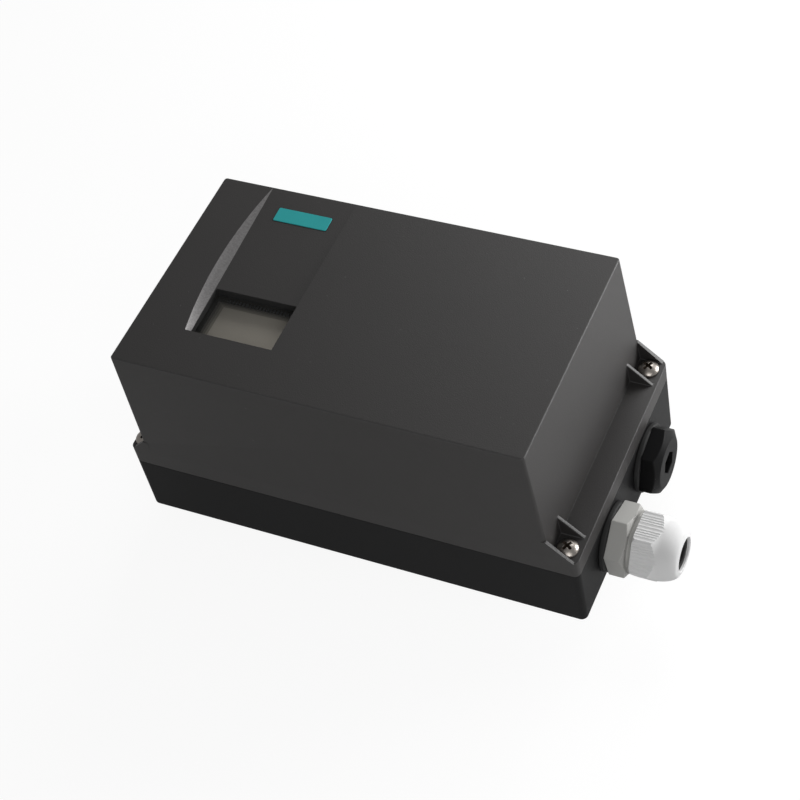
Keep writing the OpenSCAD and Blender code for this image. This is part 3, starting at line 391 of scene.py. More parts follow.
def liquid_crystal(name, colour, low, high):
    """Reflective liquid crystal film: a faint pixel grid, and painted light that makes it lighter
    towards the right and near sides.
    """
    f = Finish(name)
    grid = f.add("TexBrick", {
        "Vector": f.place(), "Scale": 1 / (1.2 * MM), "Mortar Size": 0.06, "Mortar Smooth": 0.4,
        "Brick Width": 0.5, "Row Height": 0.5
    }, "Fac", offset=0.0)
    right = f.along("X", low.x, high.x)
    near = f.along("Y", high.y, low.y)
    # Painted light: the film grows lighter towards +X and -Y.
    film = f.shades(colour, 0.70, 1.25, right * 0.6 + near * 0.4)
    return f.surface(
        Base_Color=f.mix(film, scaled(colour, 0.9), grid * 0.3),
        Roughness=0.30 + 0.06 * f.noise(14 * MM, 1),
        Specular_IOR_Level=0.2)


def clear_pane(name, colour):
    """Polished pane that shows what lies behind it, with a trace of dust."""
    f = Finish(name)
    dust = f.spread(f.noise(0.9 * MM), 0.74, 0.80)
    material = f.surface(
        Base_Color=scaled(colour, 0.12),
        Roughness=0.05,
        Specular_IOR_Level=0.5,
        Alpha=0.12 + 0.2 * dust)
    material.surface_render_method = "BLENDED"
    return material


def finish_of(kind):
    """Material of one of the record's slots or of a detail, made at its first use."""
    slot = kind + "_finish"
    if slot in bpy.data.materials:
        return bpy.data.materials[slot]
    colours = bpy.context.scene.positioner_colours
    plain = {row["slot"]: tuple(row["base_color"][:3]) for row in record["materials"]}
    own = plain.get(kind)
    makers = {
        "base_plastic": (spark_eroded_plastic, colours.base, 0.5, 0.10),
        "cover_plastic": (spark_eroded_plastic, colours.cover),
        # Lighter colour: painted highlight on the rounded edges, the dome's rim and the gusset
        # tops.
        "moulded_edge": (spark_eroded_plastic, colours.edge, 0.45, 0.45),
        # Painted sheen, highlight and glints on the flank beside the panel.
        "crescent_grain": (grain_with_painted_sheen, colours.crescent, *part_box("window_pane")),
        # Dark brownish metal in the screws' cross recesses: painted shade.
        "driver_recess": (turned_metal, (0.10, 0.078, 0.06), 0.5),
        "window_clear": (clear_pane, own),
        "badge_teal": (satin_plastic, colours.badge, 0.38),
        "gland_grey": (satin_plastic, colours.gland, 0.5, 0.2),
        "plug_black": (satin_plastic, colours.plug, 0.45, 0.1),
        "rubber_black": (rubber, own),
        "stainless": (turned_metal, (0.44, 0.405, 0.37), 0.22),
        "brass": (turned_metal, own, 0.26),
        "bronze": (turned_metal, own, 0.38),
        "aluminium": (anodised_metal, own),
        "dark_aluminium": (anodised_metal, own),
        "silencer_white": (sintered_plastic, own),
        "board_green": (board_laminate, own),
        "display_grey": (liquid_crystal, colours.display, *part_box("display")),
    }
    maker, *values = makers.get(kind, (satin_plastic, own))
    return maker(slot, *values)


# Modelling helpers

def clear_space():
    """Leaves edit mode and selects nothing."""
    if bpy.context.object and bpy.context.object.mode != "OBJECT":
        bpy.ops.object.mode_set(mode="OBJECT")
    bpy.ops.object.select_all(action="DESELECT")


def select_only(piece):
    """Leaves edit mode and selects one object."""
    clear_space()
    piece.select_set(True)
    bpy.context.view_layer.objects.active = piece
    return piece


def edit(piece, kind="VERT", action="SELECT"):
    """Opens a piece in edit mode with all of it selected, or nothing."""
    select_only(piece)
    bpy.ops.object.mode_set(mode="EDIT")
    bpy.ops.mesh.select_mode(type=kind)
    bpy.ops.mesh.select_all(action=action)


def leave_edit():
    bpy.ops.object.mode_set(mode="OBJECT")
    return bpy.context.object


def fix(piece):
    """Puts a piece's place, turn and scale into its mesh."""
    select_only(piece)
    bpy.ops.object.transform_apply(location=True, rotation=True, scale=True)
    return piece


def stand(piece, foot, turn=(0, 0, 0)):
    """Turns a piece that was made at the origin and moves it to its foot."""
    piece.rotation_euler = turn
    piece.location = foot
    return fix(piece)


def named(name):
    """Names the new object and puts its place into its mesh."""
    piece = bpy.context.object
    piece.name = name
    piece.data.name = name
    return fix(piece)


def pick(piece, kind, wanted):
    """Selects in edit mode the points, edges or faces with the wanted numbers."""
    edit(piece, kind, "DESELECT")
    mesh = leave_edit().data
    for row in {"VERT": mesh.vertices, "EDGE": mesh.edges, "FACE": mesh.polygons}[kind]:
        row.select = row.index in wanted
    bpy.ops.object.mode_set(mode="EDIT")


def pick_faces(piece, test):
    """Selects in edit mode the faces whose centre and normal pass a test."""
    faces = select_only(piece).data.polygons
    pick(piece, "FACE", {face.index for face in faces if test(face.center, face.normal)})


def pick_vertices(piece, test):
    """Selects in edit mode the points whose place passes a test."""
    points = select_only(piece).data.vertices
    pick(piece, "VERT", {point.index for point in points if test(point.co)})


def draw_out(push):
    """Extrudes what is selected."""
    bpy.ops.mesh.extrude_region_move(TRANSFORM_OT_translate={"value": push})


def tidy_mesh(piece):
    """Merges doubled points and turns all faces outwards."""
    edit(piece)
    bpy.ops.mesh.remove_doubles(threshold=MERGE)
    bpy.ops.mesh.normals_make_consistent(inside=False)
    return leave_edit()


def apply_modifier(piece, kind, **settings):
    select_only(piece)
    modifier = piece.modifiers.new(kind.title(), kind)
    for key, value in settings.items():
        setattr(modifier, key, value)
    bpy.ops.object.modifier_apply(modifier=modifier.name)
    return piece


def row_of(piece, count, step):
    """Repeats a piece along X."""
    return apply_modifier(piece, "ARRAY", count=count, use_relative_offset=False,
                          use_constant_offset=True, constant_offset_displace=(step, 0, 0))


def shade(piece):
    """Smooth shading that keeps large faces flat and hard edges hard."""
    select_only(piece)
    bpy.ops.object.shade_smooth_by_angle(angle=SMOOTH)
    return apply_modifier(piece, "WEIGHTED_NORMAL", keep_sharp=True)


def bevel_sharp(piece, edge, steps, keep=None, finish=-1):
    """Rounds the sharp edges of a piece, apart from those whose middle the keep test names."""
    edit(piece, "EDGE", "DESELECT")
    bpy.ops.mesh.edges_select_sharp(sharpness=SHARP)
    if keep:
        leave_edit()
        at = piece.data.vertices
        pick(piece, "EDGE", {
            row.index for row in piece.data.edges
            if row.select and not keep((at[row.vertices[0]].co + at[row.vertices[1]].co) / 2)})
    bpy.ops.mesh.bevel(offset=edge, segments=steps, profile=0.5, affect="EDGES",
                       clamp_overlap=False, material=finish)
    return leave_edit()


def soften(piece, edge, steps=2):
    """Rounds the sharp edges of a piece and smooths its shading."""
    return shade(bevel_sharp(piece, edge, steps))


def block(name, low, high, edge=0.0):
    """Box between two corners, with softened edges."""
    clear_space()
    low, high = Vector(low), Vector(high)
    bpy.ops.mesh.primitive_cube_add(size=1, location=(low + high) / 2, scale=high - low)
    piece = named(name)
    return soften(piece, edge) if edge else piece


def turned(name, profile, foot=(0, 0, 0), turn=(0, 0, 0), steps=64, bored=False):
    """Turned piece: a ring drawn out along its axis, by the steps of a (radius, height) profile."""
    radius, height = profile[0]
    clear_space()
    bpy.ops.mesh.primitive_circle_add(
        vertices=steps, radius=radius, fill_type="NOTHING" if bored else "NGON",
        location=(0, 0, height))
    piece = named(name)
    edit(piece)
    for next_radius, next_height in profile[1:] + (profile[:1] if bored else []):
        draw_out((0, 0, next_height - height))
        k = next_radius / radius
        bpy.ops.transform.resize(value=(k, k, 1), center_override=(0, 0, next_height))
        radius, height = next_radius, next_height
    return stand(tidy_mesh(piece), foot, turn)


def arc(centre, radius, start, end, steps):
    """Points of an arc in a profile, angles in degrees from the radius axis."""
    angles = [radians(start + (end - start) * i / steps) for i in range(steps + 1)]
    return [(centre[0] + radius * cos(a), centre[1] + radius * sin(a)) for a in angles]


def cut(piece, tool, operation="DIFFERENCE"):
    """Cuts a piece with a tool, whose finish the cut faces take and which is then thrown away."""
    apply_modifier(piece, "BOOLEAN", operation=operation, solver="EXACT",
                   material_mode="TRANSFER", object=tool)
    bpy.data.objects.remove(tool)
    return piece


def cut_thread(piece, radius, length, foot, turn=(0, 0, 0)):
    """Cuts the grooves of a thread into the wall of a hole."""
    sizes = bpy.context.scene.positioner_sizes
    pitch, depth, lead = sizes.thread_pitch, sizes.thread_depth, 0.2 * MM
    turns = int(length / pitch)
    profile = [(radius, -lead)]
    for i in range(turns):
        profile += [(radius, i * pitch + 0.2 * pitch), (radius + depth, i * pitch + 0.6 * pitch)]
    profile += [(radius, turns * pitch)]
    return cut(piece, turned("thread_tool", profile, foot, turn, steps=48))


def join(pieces):
    """Makes one piece of several."""
    clear_space()
    for piece in pieces:
        piece.select_set(True)
    bpy.context.view_layer.objects.active = pieces[0]
    bpy.ops.object.join()
    return fix(bpy.context.object)


def copies(piece, offsets):
    """Joins a piece with its copies at the given offsets."""
    pattern = [piece]
    for offset in offsets:
        select_only(piece)
        bpy.ops.object.duplicate(linked=False)
        bpy.ops.transform.translate(value=offset)
        pattern.append(bpy.context.object)
    return join(pattern)


def cad_copy(node, name):
    """Merged copy of a CAD node, free of its body."""
    select_only(frame["nodes"][node])
    bpy.ops.object.duplicate(linked=False)
    piece = bpy.context.object
    bpy.ops.object.parent_clear(type="CLEAR_KEEP_TRANSFORM")
    piece.name = name
    piece.data.name = name
    edit(piece)
    bpy.ops.mesh.remove_doubles(threshold=MERGE)
    bpy.ops.mesh.dissolve_limited(angle_limit=FLAT)
    return leave_edit()


def end_of(node):
    """Middle of a node's end towards -X."""
    low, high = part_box(node)
    return Vector((low.x, (low.y + high.y) / 2, (low.z + high.z) / 2))


def dress(piece, finish):
    """Gives a piece one finish all over, which is a material or the kind of one."""
    piece.data.materials.clear()
    piece.data.materials.append(finish_of(finish) if isinstance(finish, str) else finish)
    return piece


def paint(piece, kind, test):
    """Gives the faces that pass a test a finish of their own."""
    finish = finish_of(kind)
    if finish.name not in piece.data.materials:
        piece.data.materials.append(finish)
    pick_faces(piece, test)
    piece.active_material_index = piece.data.materials.find(finish.name)
    bpy.ops.object.material_slot_assign()
    return leave_edit()


def settle(piece, body, slot, *nodes):
    """Puts a finished piece on its body, with its slot and the CAD nodes that it stands for."""
    if not piece.data.materials:
        dress(piece, slot)
    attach(piece, body)
    if nodes:
        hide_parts(*nodes)
    return piece


def stand_in(piece, node):
    """Settles a finished piece in the place of a CAD node."""
    return settle(piece, BODY_OF[node], SLOT_OF[node], node)


def rounded(node, edge, steps=2):
    """Copy of a CAD node with softened edges, which stands for the node."""
    return stand_in(soften(cad_copy(node, node + "_finished"), edge, steps), node)


def rubber_ring(node):
    """Sealing washer around +X with a rounded rim, which stands for a CAD node."""
    low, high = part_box(node)
    thick = high.x - low.x
    outer = (high.y - low.y) / 2
    inner = outer - 3.1 * MM
    round_r = 0.7 * MM
    profile = ([(inner, 0)] + arc((outer - round_r, round_r), round_r, -90, 0, 4)
               + arc((outer - round_r, thick - round_r), round_r, 0, 90, 4) + [(inner, thick)])
    ring = turned(node + "_finished", profile, end_of(node), ALONG_X, steps=96, bored=True)
    return stand_in(shade(ring), node)


# Operators

class POSITIONER_OT_finishes(bpy.types.Operator):
    """Give every CAD node the finish of its material slot"""
    bl_idname = "positioner.finishes"
    bl_label = "Finishes"

    def execute(self, context):
        for node, slot in SLOT_OF.items():
            dress(frame["nodes"][node], slot)
        return {"FINISHED"}


class POSITIONER_OT_enclosure(bpy.types.Operator):
    """Finish base and cover, the sealing strip between them and the line at the end wall's foot"""
    bl_idname = "positioner.enclosure"
    bl_label = "Enclosure"

    def execute(self, context):
        edge = context.scene.positioner_sizes.moulded_edge
        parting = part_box("enclosure_base")[1].z
        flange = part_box("cover_screws")[1].z - HEAD_H
        stand_in(shade(self.moulding("enclosure_base", edge, parting)), "enclosure_base")
        self.cover(edge, parting, flange)
        self.seam(parting)
        self.foot_line(flange)
        return {"FINISHED"}

    @staticmethod
    def moulding(node, edge, parting, keep=None):
        """Copy of a moulding with edges in a smoother edge finish whose lighter colour is a painted
        highlight, apart from those in the parting plane.
        """
        steps, edge_highlight_finish = 3, 1
        piece = cad_copy(node, node + "_finished")
        piece.data.materials.append(finish_of("moulded_edge"))
        bevel_sharp(piece, edge, steps, keep, edge_highlight_finish)
        return paint(piece, SLOT_OF[node], lambda centre, normal: abs(centre.z - parting) < edge)

    def cover(self, edge, parting, flange):
        """Cover with a crisp panel, crisp gussets, edges with a painted highlight and the
        crescent's grain with a painted sheen.
        """
        low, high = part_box("window_pane")
        top = cad_high.z
        panel, crescent = top - 4 * MM, low.x - 9 * MM
        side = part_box("enclosure_cover")[1].y - 0.9 * MM
        gusset_side = side - 1.6 * MM
        gusset_foot, gusset_top = flange + 4.5 * MM, flange + 12 * MM

        def on_panel(point):
            return point.z > panel and crescent < point.x < high.x and point.y > low.y

        def on_flank(centre, normal):
            return on_panel(centre) and normal.x > 0.05 and normal.z > 0.3

        def on_rim(centre, normal):
            rounding = 0.1 < normal.z < 0.985 and centre.z > top - 0.7 * MM
            return rounding and not on_flank(centre, normal)

        def on_gusset(centre, normal):
            return flange < centre.z < gusset_top and normal.z > 0.3 and abs(normal.x) > 0.3

        def stays_sharp(point):
            at_gusset = abs(point.y) > gusset_side and gusset_foot < point.z < gusset_top
            at_side = abs(point.y) > side and point.z > flange - 1 * MM
            return on_panel(point) or at_gusset or at_side

        cover = self.moulding("enclosure_cover", edge, parting, stays_sharp)
        pick_faces(cover, on_flank)
        bpy.ops.mesh.region_to_loop()
        bpy.ops.mesh.mark_sharp()
        shade(cover)
        # The dome's rounded rim and the gussets' sloped tops take the lighter edge finish: painted
        # highlights.
        paint(cover, "moulded_edge", on_rim)
        paint(cover, "moulded_edge", on_gusset)
        # The flank takes the finish with the painted sheen, highlight and glints.
        paint(cover, "crescent_grain", on_flank)
        stand_in(cover, "enclosure_cover")

    @staticmethod
    def seam(parting):
        """Edge of the sealing strip in the groove between base and cover."""
        low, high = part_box("enclosure_base")
        inset, height, thick, corner, corner_steps = 0.15 * MM, 0.5 * MM, 1.0 * MM, 2.3 * MM, 8
        clear_space()
        bpy.ops.mesh.primitive_plane_add(
            size=1, location=((low.x + high.x) / 2, 0, parting - height / 2))
        bpy.context.object.scale = (high.x - low.x - 2 * inset, high.y - low.y - 2 * inset, 1)
        seam = named("cover_seam")
        edit(seam)
        bpy.ops.mesh.bevel(offset=corner, segments=corner_steps, affect="VERTICES")
        bpy.ops.mesh.delete(type="ONLY_FACE")
        bpy.ops.mesh.select_all(action="SELECT")
        draw_out((0, 0, height))
        tidy_mesh(seam)
        apply_modifier(seam, "SOLIDIFY", thickness=thick, offset=-1)
        settle(shade(seam), "base", "rubber_black")

    @staticmethod
    def foot_line(flange):
        """Fine raised line at the foot of the sloped end wall, in the lighter edge finish: a
        painted highlight line.
        """
        setback, half, width, edge = 1.25 * MM, 33 * MM, 0.24 * MM, 0.08 * MM
        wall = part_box("cover_gasket")[1].x - setback
        line = block("foot_line", (wall, -half, flange - width),
                     (wall + width, half, flange + width), edge)
        settle(dress(line, "moulded_edge"), "cover", "cover_plastic")


class POSITIONER_OT_cover_screws(bpy.types.Operator):
    """Model the four pan-head screws of the cover"""
    bl_idname = "positioner.cover_screws"
    bl_label = "Cover screws"

    def execute(self, context):
        low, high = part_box("cover_screws")
        head_r, shank_r, rim, fillet = 4.0 * MM, 2.0 * MM, 0.8 * MM, 0.2 * MM
        tip_in, taper, dome_in, dome_flat, dome_steps = 0.5 * MM, 0.6 * MM, 0.25 * MM, 0.3 * MM, 8
        seat = high.z - HEAD_H
        crown = (head_r ** 2 + (HEAD_H - rim) ** 2) / (2 * (HEAD_H - rim))
        start = degrees(asin((head_r - dome_in) / crown))
        profile = (
            [(shank_r - tip_in, low.z), (shank_r, low.z + taper), (shank_r, seat),
             (head_r - fillet, seat)]
            + arc((head_r - fillet, seat + fillet), fillet, -60, 0, 2)
            + [(head_r, seat + rim - 0.15 * MM)]
            + arc((0, high.z - crown), crown, 90 - start, 90 - start / dome_steps, dome_steps - 1)
            + [(dome_flat, high.z)])
        places = [Vector((x, y, 0)) for x in (low.x + head_r, high.x - head_r)
                  for y in (low.y + head_r, high.y - head_r)]
        first = places[0]
        screw = turned("cover_screws_finished", profile, first, steps=48)
        dress(screw, "stainless")
        # The recess's faces take the dark finish: painted shade.
        cut(screw, dress(self.cross_bit(first, high.z), "driver_recess"))
        shade(screw)
        stand_in(copies(screw, [place - first for place in places[1:]]), "cover_screws")
        return {"FINISHED"}

    @staticmethod
    def cross_bit(place, top):
        """Cross-shaped driver bit that tapers downwards."""
        wing, arm, depth, edge = 0.62 * MM, 2.45 * MM, 1.9 * MM, 0.16 * MM
        taper, turn = 0.55, radians(30)
        foot = top - depth
        bit = block("cross_bit", (-wing, -wing, foot), (wing, wing, top + 0.5 * MM))
        for axis in (0, 1):
            for side in (-1, 1):
                pick_faces(bit, lambda c, n: n[axis] * side > 0.9 and abs(c[1 - axis]) < wing / 2)
                push = [0, 0, 0]
                push[axis] = side * (arm - wing)
                draw_out(push)
        pick_vertices(bit, lambda co: co.z < foot + NEAR)
        bpy.ops.transform.resize(value=(taper, taper, 1), center_override=(0, 0, foot))
        soften(bit, edge)
        bit.location = place
        select_only(bit)
        bpy.ops.transform.rotate(value=turn, orient_axis="Z", center_override=place)
        return fix(bit)


class POSITIONER_OT_window(bpy.types.Operator):
    """Finish the window pane with a black sheet of painted shade on the opening's walls, and the
    bare badge plate with a dark sheet under it as painted shadow
    """
    bl_idname = "positioner.window"
    bl_label = "Window and badge"

    def execute(self, context):
        self.badge_bed()
        rounded("window_pane", 0.15 * MM)
        rounded("badge_plate", 0.2 * MM)
        self.liner(context.scene.positioner_sizes)
        return {"FINISHED"}

    @staticmethod
    def badge_bed():
        """Dark sheet under the badge plate that shows as a thin line around it: painted shadow in
        the gap around the plate.
        """
        margin, drop, edge = 0.28 * MM, 0.24 * MM, 0.05 * MM
        low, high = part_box("badge_plate")
        wider = [1 + 2 * margin / size for size in (high - low).xy]
        # Painted shadow: a larger copy of the plate, sunk under it.
        bed = cad_copy("badge_plate", "badge_bed")
        edit(bed)
        bpy.ops.transform.resize(value=(*wider, 1), center_override=(low + high) / 2)
        bpy.ops.transform.translate(value=(0, 0, -drop))
        dress(soften(bed, edge, 1), "rubber_black")
        settle(bed, "cover", "rubber_black")

    @staticmethod
    def liner(sizes):
        """Black sheet on the walls of the window opening, as high as the sloped panel allows:
        painted shade on those walls.
        """
        lap, wall, edge = sizes.pane_lap, 0.2 * MM, 0.05 * MM
        low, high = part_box("window_pane")
        low = Vector((low.x + lap, low.y + lap, high.z))
        high = Vector((high.x - lap, high.y - lap, high.z + sizes.shade_sheet_height))
        # Painted shade on the walls of the window opening.
        liner = block("window_liner", low, high)
        pick_faces(liner, lambda centre, normal: abs(normal.z) > 0.9)
        bpy.ops.mesh.delete(type="FACE")
        pick_vertices(liner, lambda co: co.z > high.z - NEAR and co.y > high.y - NEAR)
        bpy.ops.transform.translate(value=(0, 0, sizes.shade_sheet_rise))
        apply_modifier(liner, "SOLIDIFY", thickness=wall, offset=-1)
        settle(soften(tidy_mesh(liner), edge, 1), "cover", "rubber_black")


class POSITIONER_OT_cable_gland(bpy.types.Operator):
    """Model the cable gland: washer, body, ribbed nut and seal"""
    bl_idname = "positioner.cable_gland"
    bl_label = "Cable gland"

    def execute(self, context):
        sizes = context.scene.positioner_sizes
        rubber_ring("gland_washer")
        rounded("gland_body", 0.35 * MM, 3)
        rounded("gland_seal", 0.4 * MM, 3)
        low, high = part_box("gland_nut")
        across_flats, length = high.z - low.z, high.x - low.x
        nut = self.ribbed_bar(across_flats, length, sizes)
        cut(nut, self.outline(across_flats, length, sizes), "INTERSECT")
        cut(nut, self.bore(length, sizes))
        shade(tidy_mesh(nut))
        stand_in(stand(nut, end_of("gland_nut"), ALONG_X), "gland_nut")
        return {"FINISHED"}

    @staticmethod
    def ribbed_bar(across_flats, length, sizes):
        """Hexagon bar, every second point of whose outline is pressed in, which leaves ribs."""
        flat, ribs = across_flats / 2, sizes.ribs_per_flat
        pitch = flat * tan(radians(30)) / ribs
        clear_space()
        bpy.ops.mesh.primitive_circle_add(
            vertices=6, radius=across_flats / sqrt(3), fill_type="NGON")
        bar = named("gland_nut_finished")
        edit(bar)
        bpy.ops.mesh.subdivide(number_cuts=2 * ribs - 1)

        def in_groove(co):
            turn = degrees(atan2(co.y, co.x)) % 60
            across = tan(radians(turn - 30)) * flat
            return co.length > 0 and round(across / pitch) % 2 == (ribs + 1) % 2

        pick_vertices(bar, in_groove)
        k = 1 - sizes.rib_depth / flat
        bpy.ops.transform.resize(value=(k, k, 1), center_override=(0, 0, 0))
        bpy.ops.mesh.select_all(action="SELECT")
        draw_out((0, 0, length))
        return tidy_mesh(bar)

    @staticmethod
    def outline(across_flats, length, sizes):
        """Turned outline of the nut: chamfered foot, hexagon and bell-shaped end."""
        hexagon, mouth = sizes.nut_hexagon, sizes.nut_opening / 2
        corner = across_flats / sqrt(3) - 0.1 * MM
        shoulder = across_flats / 2 - 0.1 * MM
        chamfer, lip = 0.8 * MM, mouth + 1.2 * MM
        rise = length - hexagon - 0.3 * MM
        start, step = 18, 8
        width = (shoulder - lip) / cos(radians(start))
        drop = sin(radians(start))
        bell = [(lip + width * cos(radians(a)),
                 hexagon + rise * (sin(radians(a)) - drop) / (1 - drop))
                for a in range(start, 91, step)]
        return turned("nut_outline", [
            (corner - chamfer, -NEAR), (corner, chamfer), (corner, hexagon - 2 * MM),
            *bell, (mouth + 0.3 * MM, length)], steps=96)

    @staticmethod
    def bore(length, sizes):
        """Cutter for the nut's hole: thread, seal chamber and chamfered mouth."""
        thread_r, seal_r, mouth = 9.04 * MM, 8.04 * MM, sizes.nut_opening / 2
        thread_end, seal_end = sizes.nut_hexagon - 0.9 * MM, length - 1.2 * MM
        return turned("nut_bore", [
            (thread_r, -1 * MM), (thread_r, thread_end), (seal_r, thread_end),
            (seal_r, seal_end), (mouth, seal_end), (mouth, length - 0.4 * MM),
            (mouth + 0.5 * MM, length + 0.1 * MM)])


class POSITIONER_OT_blanking_plug(bpy.types.Operator):
    """Finish the blanking plug and its washer"""
    bl_idname = "positioner.blanking_plug"
    bl_label = "Blanking plug"

    def execute(self, context):
        rubber_ring("plug_washer")
        rounded("blanking_plug", 0.35 * MM, 3)
        return {"FINISHED"}


class POSITIONER_OT_air_ports(bpy.types.Operator):
    """Finish the port strip with its threads, screws, restrictors and silencer"""
    bl_idname = "positioner.air_ports"
    bl_label = "Air ports"

    def execute(self, context):
        edge = context.scene.positioner_sizes.machined_edge
        clear = 0.03 * MM
        strip = soften(cad_copy("port_strip", "port_strip_finished"), edge)
        for mount in record["mounts"]:
            if mount["kind"] == "threaded_hole":
                place, dims = Vector(mount["pos_m"]), mount["dims"]
                place.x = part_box("port_strip")[0].x - clear
                cut_thread(strip, dims["r_mm"] * MM + clear, dims["length_mm"] * MM, place, ALONG_X)
        stand_in(shade(strip), "port_strip")
        for node in ("strip_screws", "restrictor_1", "restrictor_2", "silencer"):
            rounded(node, edge)
        return {"FINISHED"}


class POSITIONER_OT_rear_mounting(bpy.types.Operator):
    """Finish the bracket inserts with their threads, the feedback shaft and its bush"""
    bl_idname = "positioner.rear_mounting"
    bl_label = "Rear mounting"

    def execute(self, context):
        inserts = soften(cad_copy("bracket_inserts", "bracket_inserts_finished"), 0.3 * MM)
        low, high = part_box("bracket_inserts")
        dims = next(m["dims"] for m in record["mounts"] if m["kind"] == "bolt_pattern")
        for side_x in (-0.5, 0.5):
            for side_y in (-0.5, 0.5):
                place = (side_x * dims["spacing_x_mm"] * MM, side_y * dims["spacing_y_mm"] * MM, 0)
                cut_thread(inserts, dims["hole_r_mm"] * MM, high.z - low.z, place)
        stand_in(shade(inserts), "bracket_inserts")
        for node in ("feedback_shaft", "shaft_circlips", "shaft_bush", "shaft_seal"):
            rounded(node, context.scene.positioner_sizes.machined_edge)
        return {"FINISHED"}


class POSITIONER_OT_gear_train(bpy.types.Operator):
    """Finish hub, gears, clutch and potentiometer"""
    bl_idname = "positioner.gear_train"
    bl_label = "Gear train"

    def execute(self, context):
        for node in ("clutch_hub", "clutch_spring", "clutch_wheel", "pot_body"):
            rounded(node, context.scene.positioner_sizes.machined_edge)
        for node in ("drive_gear", "pot_pinion"):
            rounded(node, 0.08 * MM)
        return {"FINISHED"}


class POSITIONER_OT_pneumatic_block(bpy.types.Operator):
    """Finish manifold, valve block, pilot valves and purge selector"""
    bl_idname = "positioner.pneumatic_block"
    bl_label = "Pneumatic block"

    def execute(self, context):
        for node in ("manifold", "valve_block", "pilot_valves", "purge_selector"):
            rounded(node, 0.35 * MM)
        return {"FINISHED"}


class POSITIONER_OT_electronics(bpy.types.Operator):
    """Finish the board's posts and screws, the terminals, the ratio selector and the module"""
    bl_idname = "positioner.electronics"
    bl_label = "Electronics"

    def execute(self, context):
        edge = context.scene.positioner_sizes.machined_edge
        for node in ("board_standoffs", "board_screws", "terminal_block", "terminal_screws",
                     "ratio_rail", "ratio_selector"):
            rounded(node, edge)
        rounded("module_cover", 3 * edge)
        return {"FINISHED"}


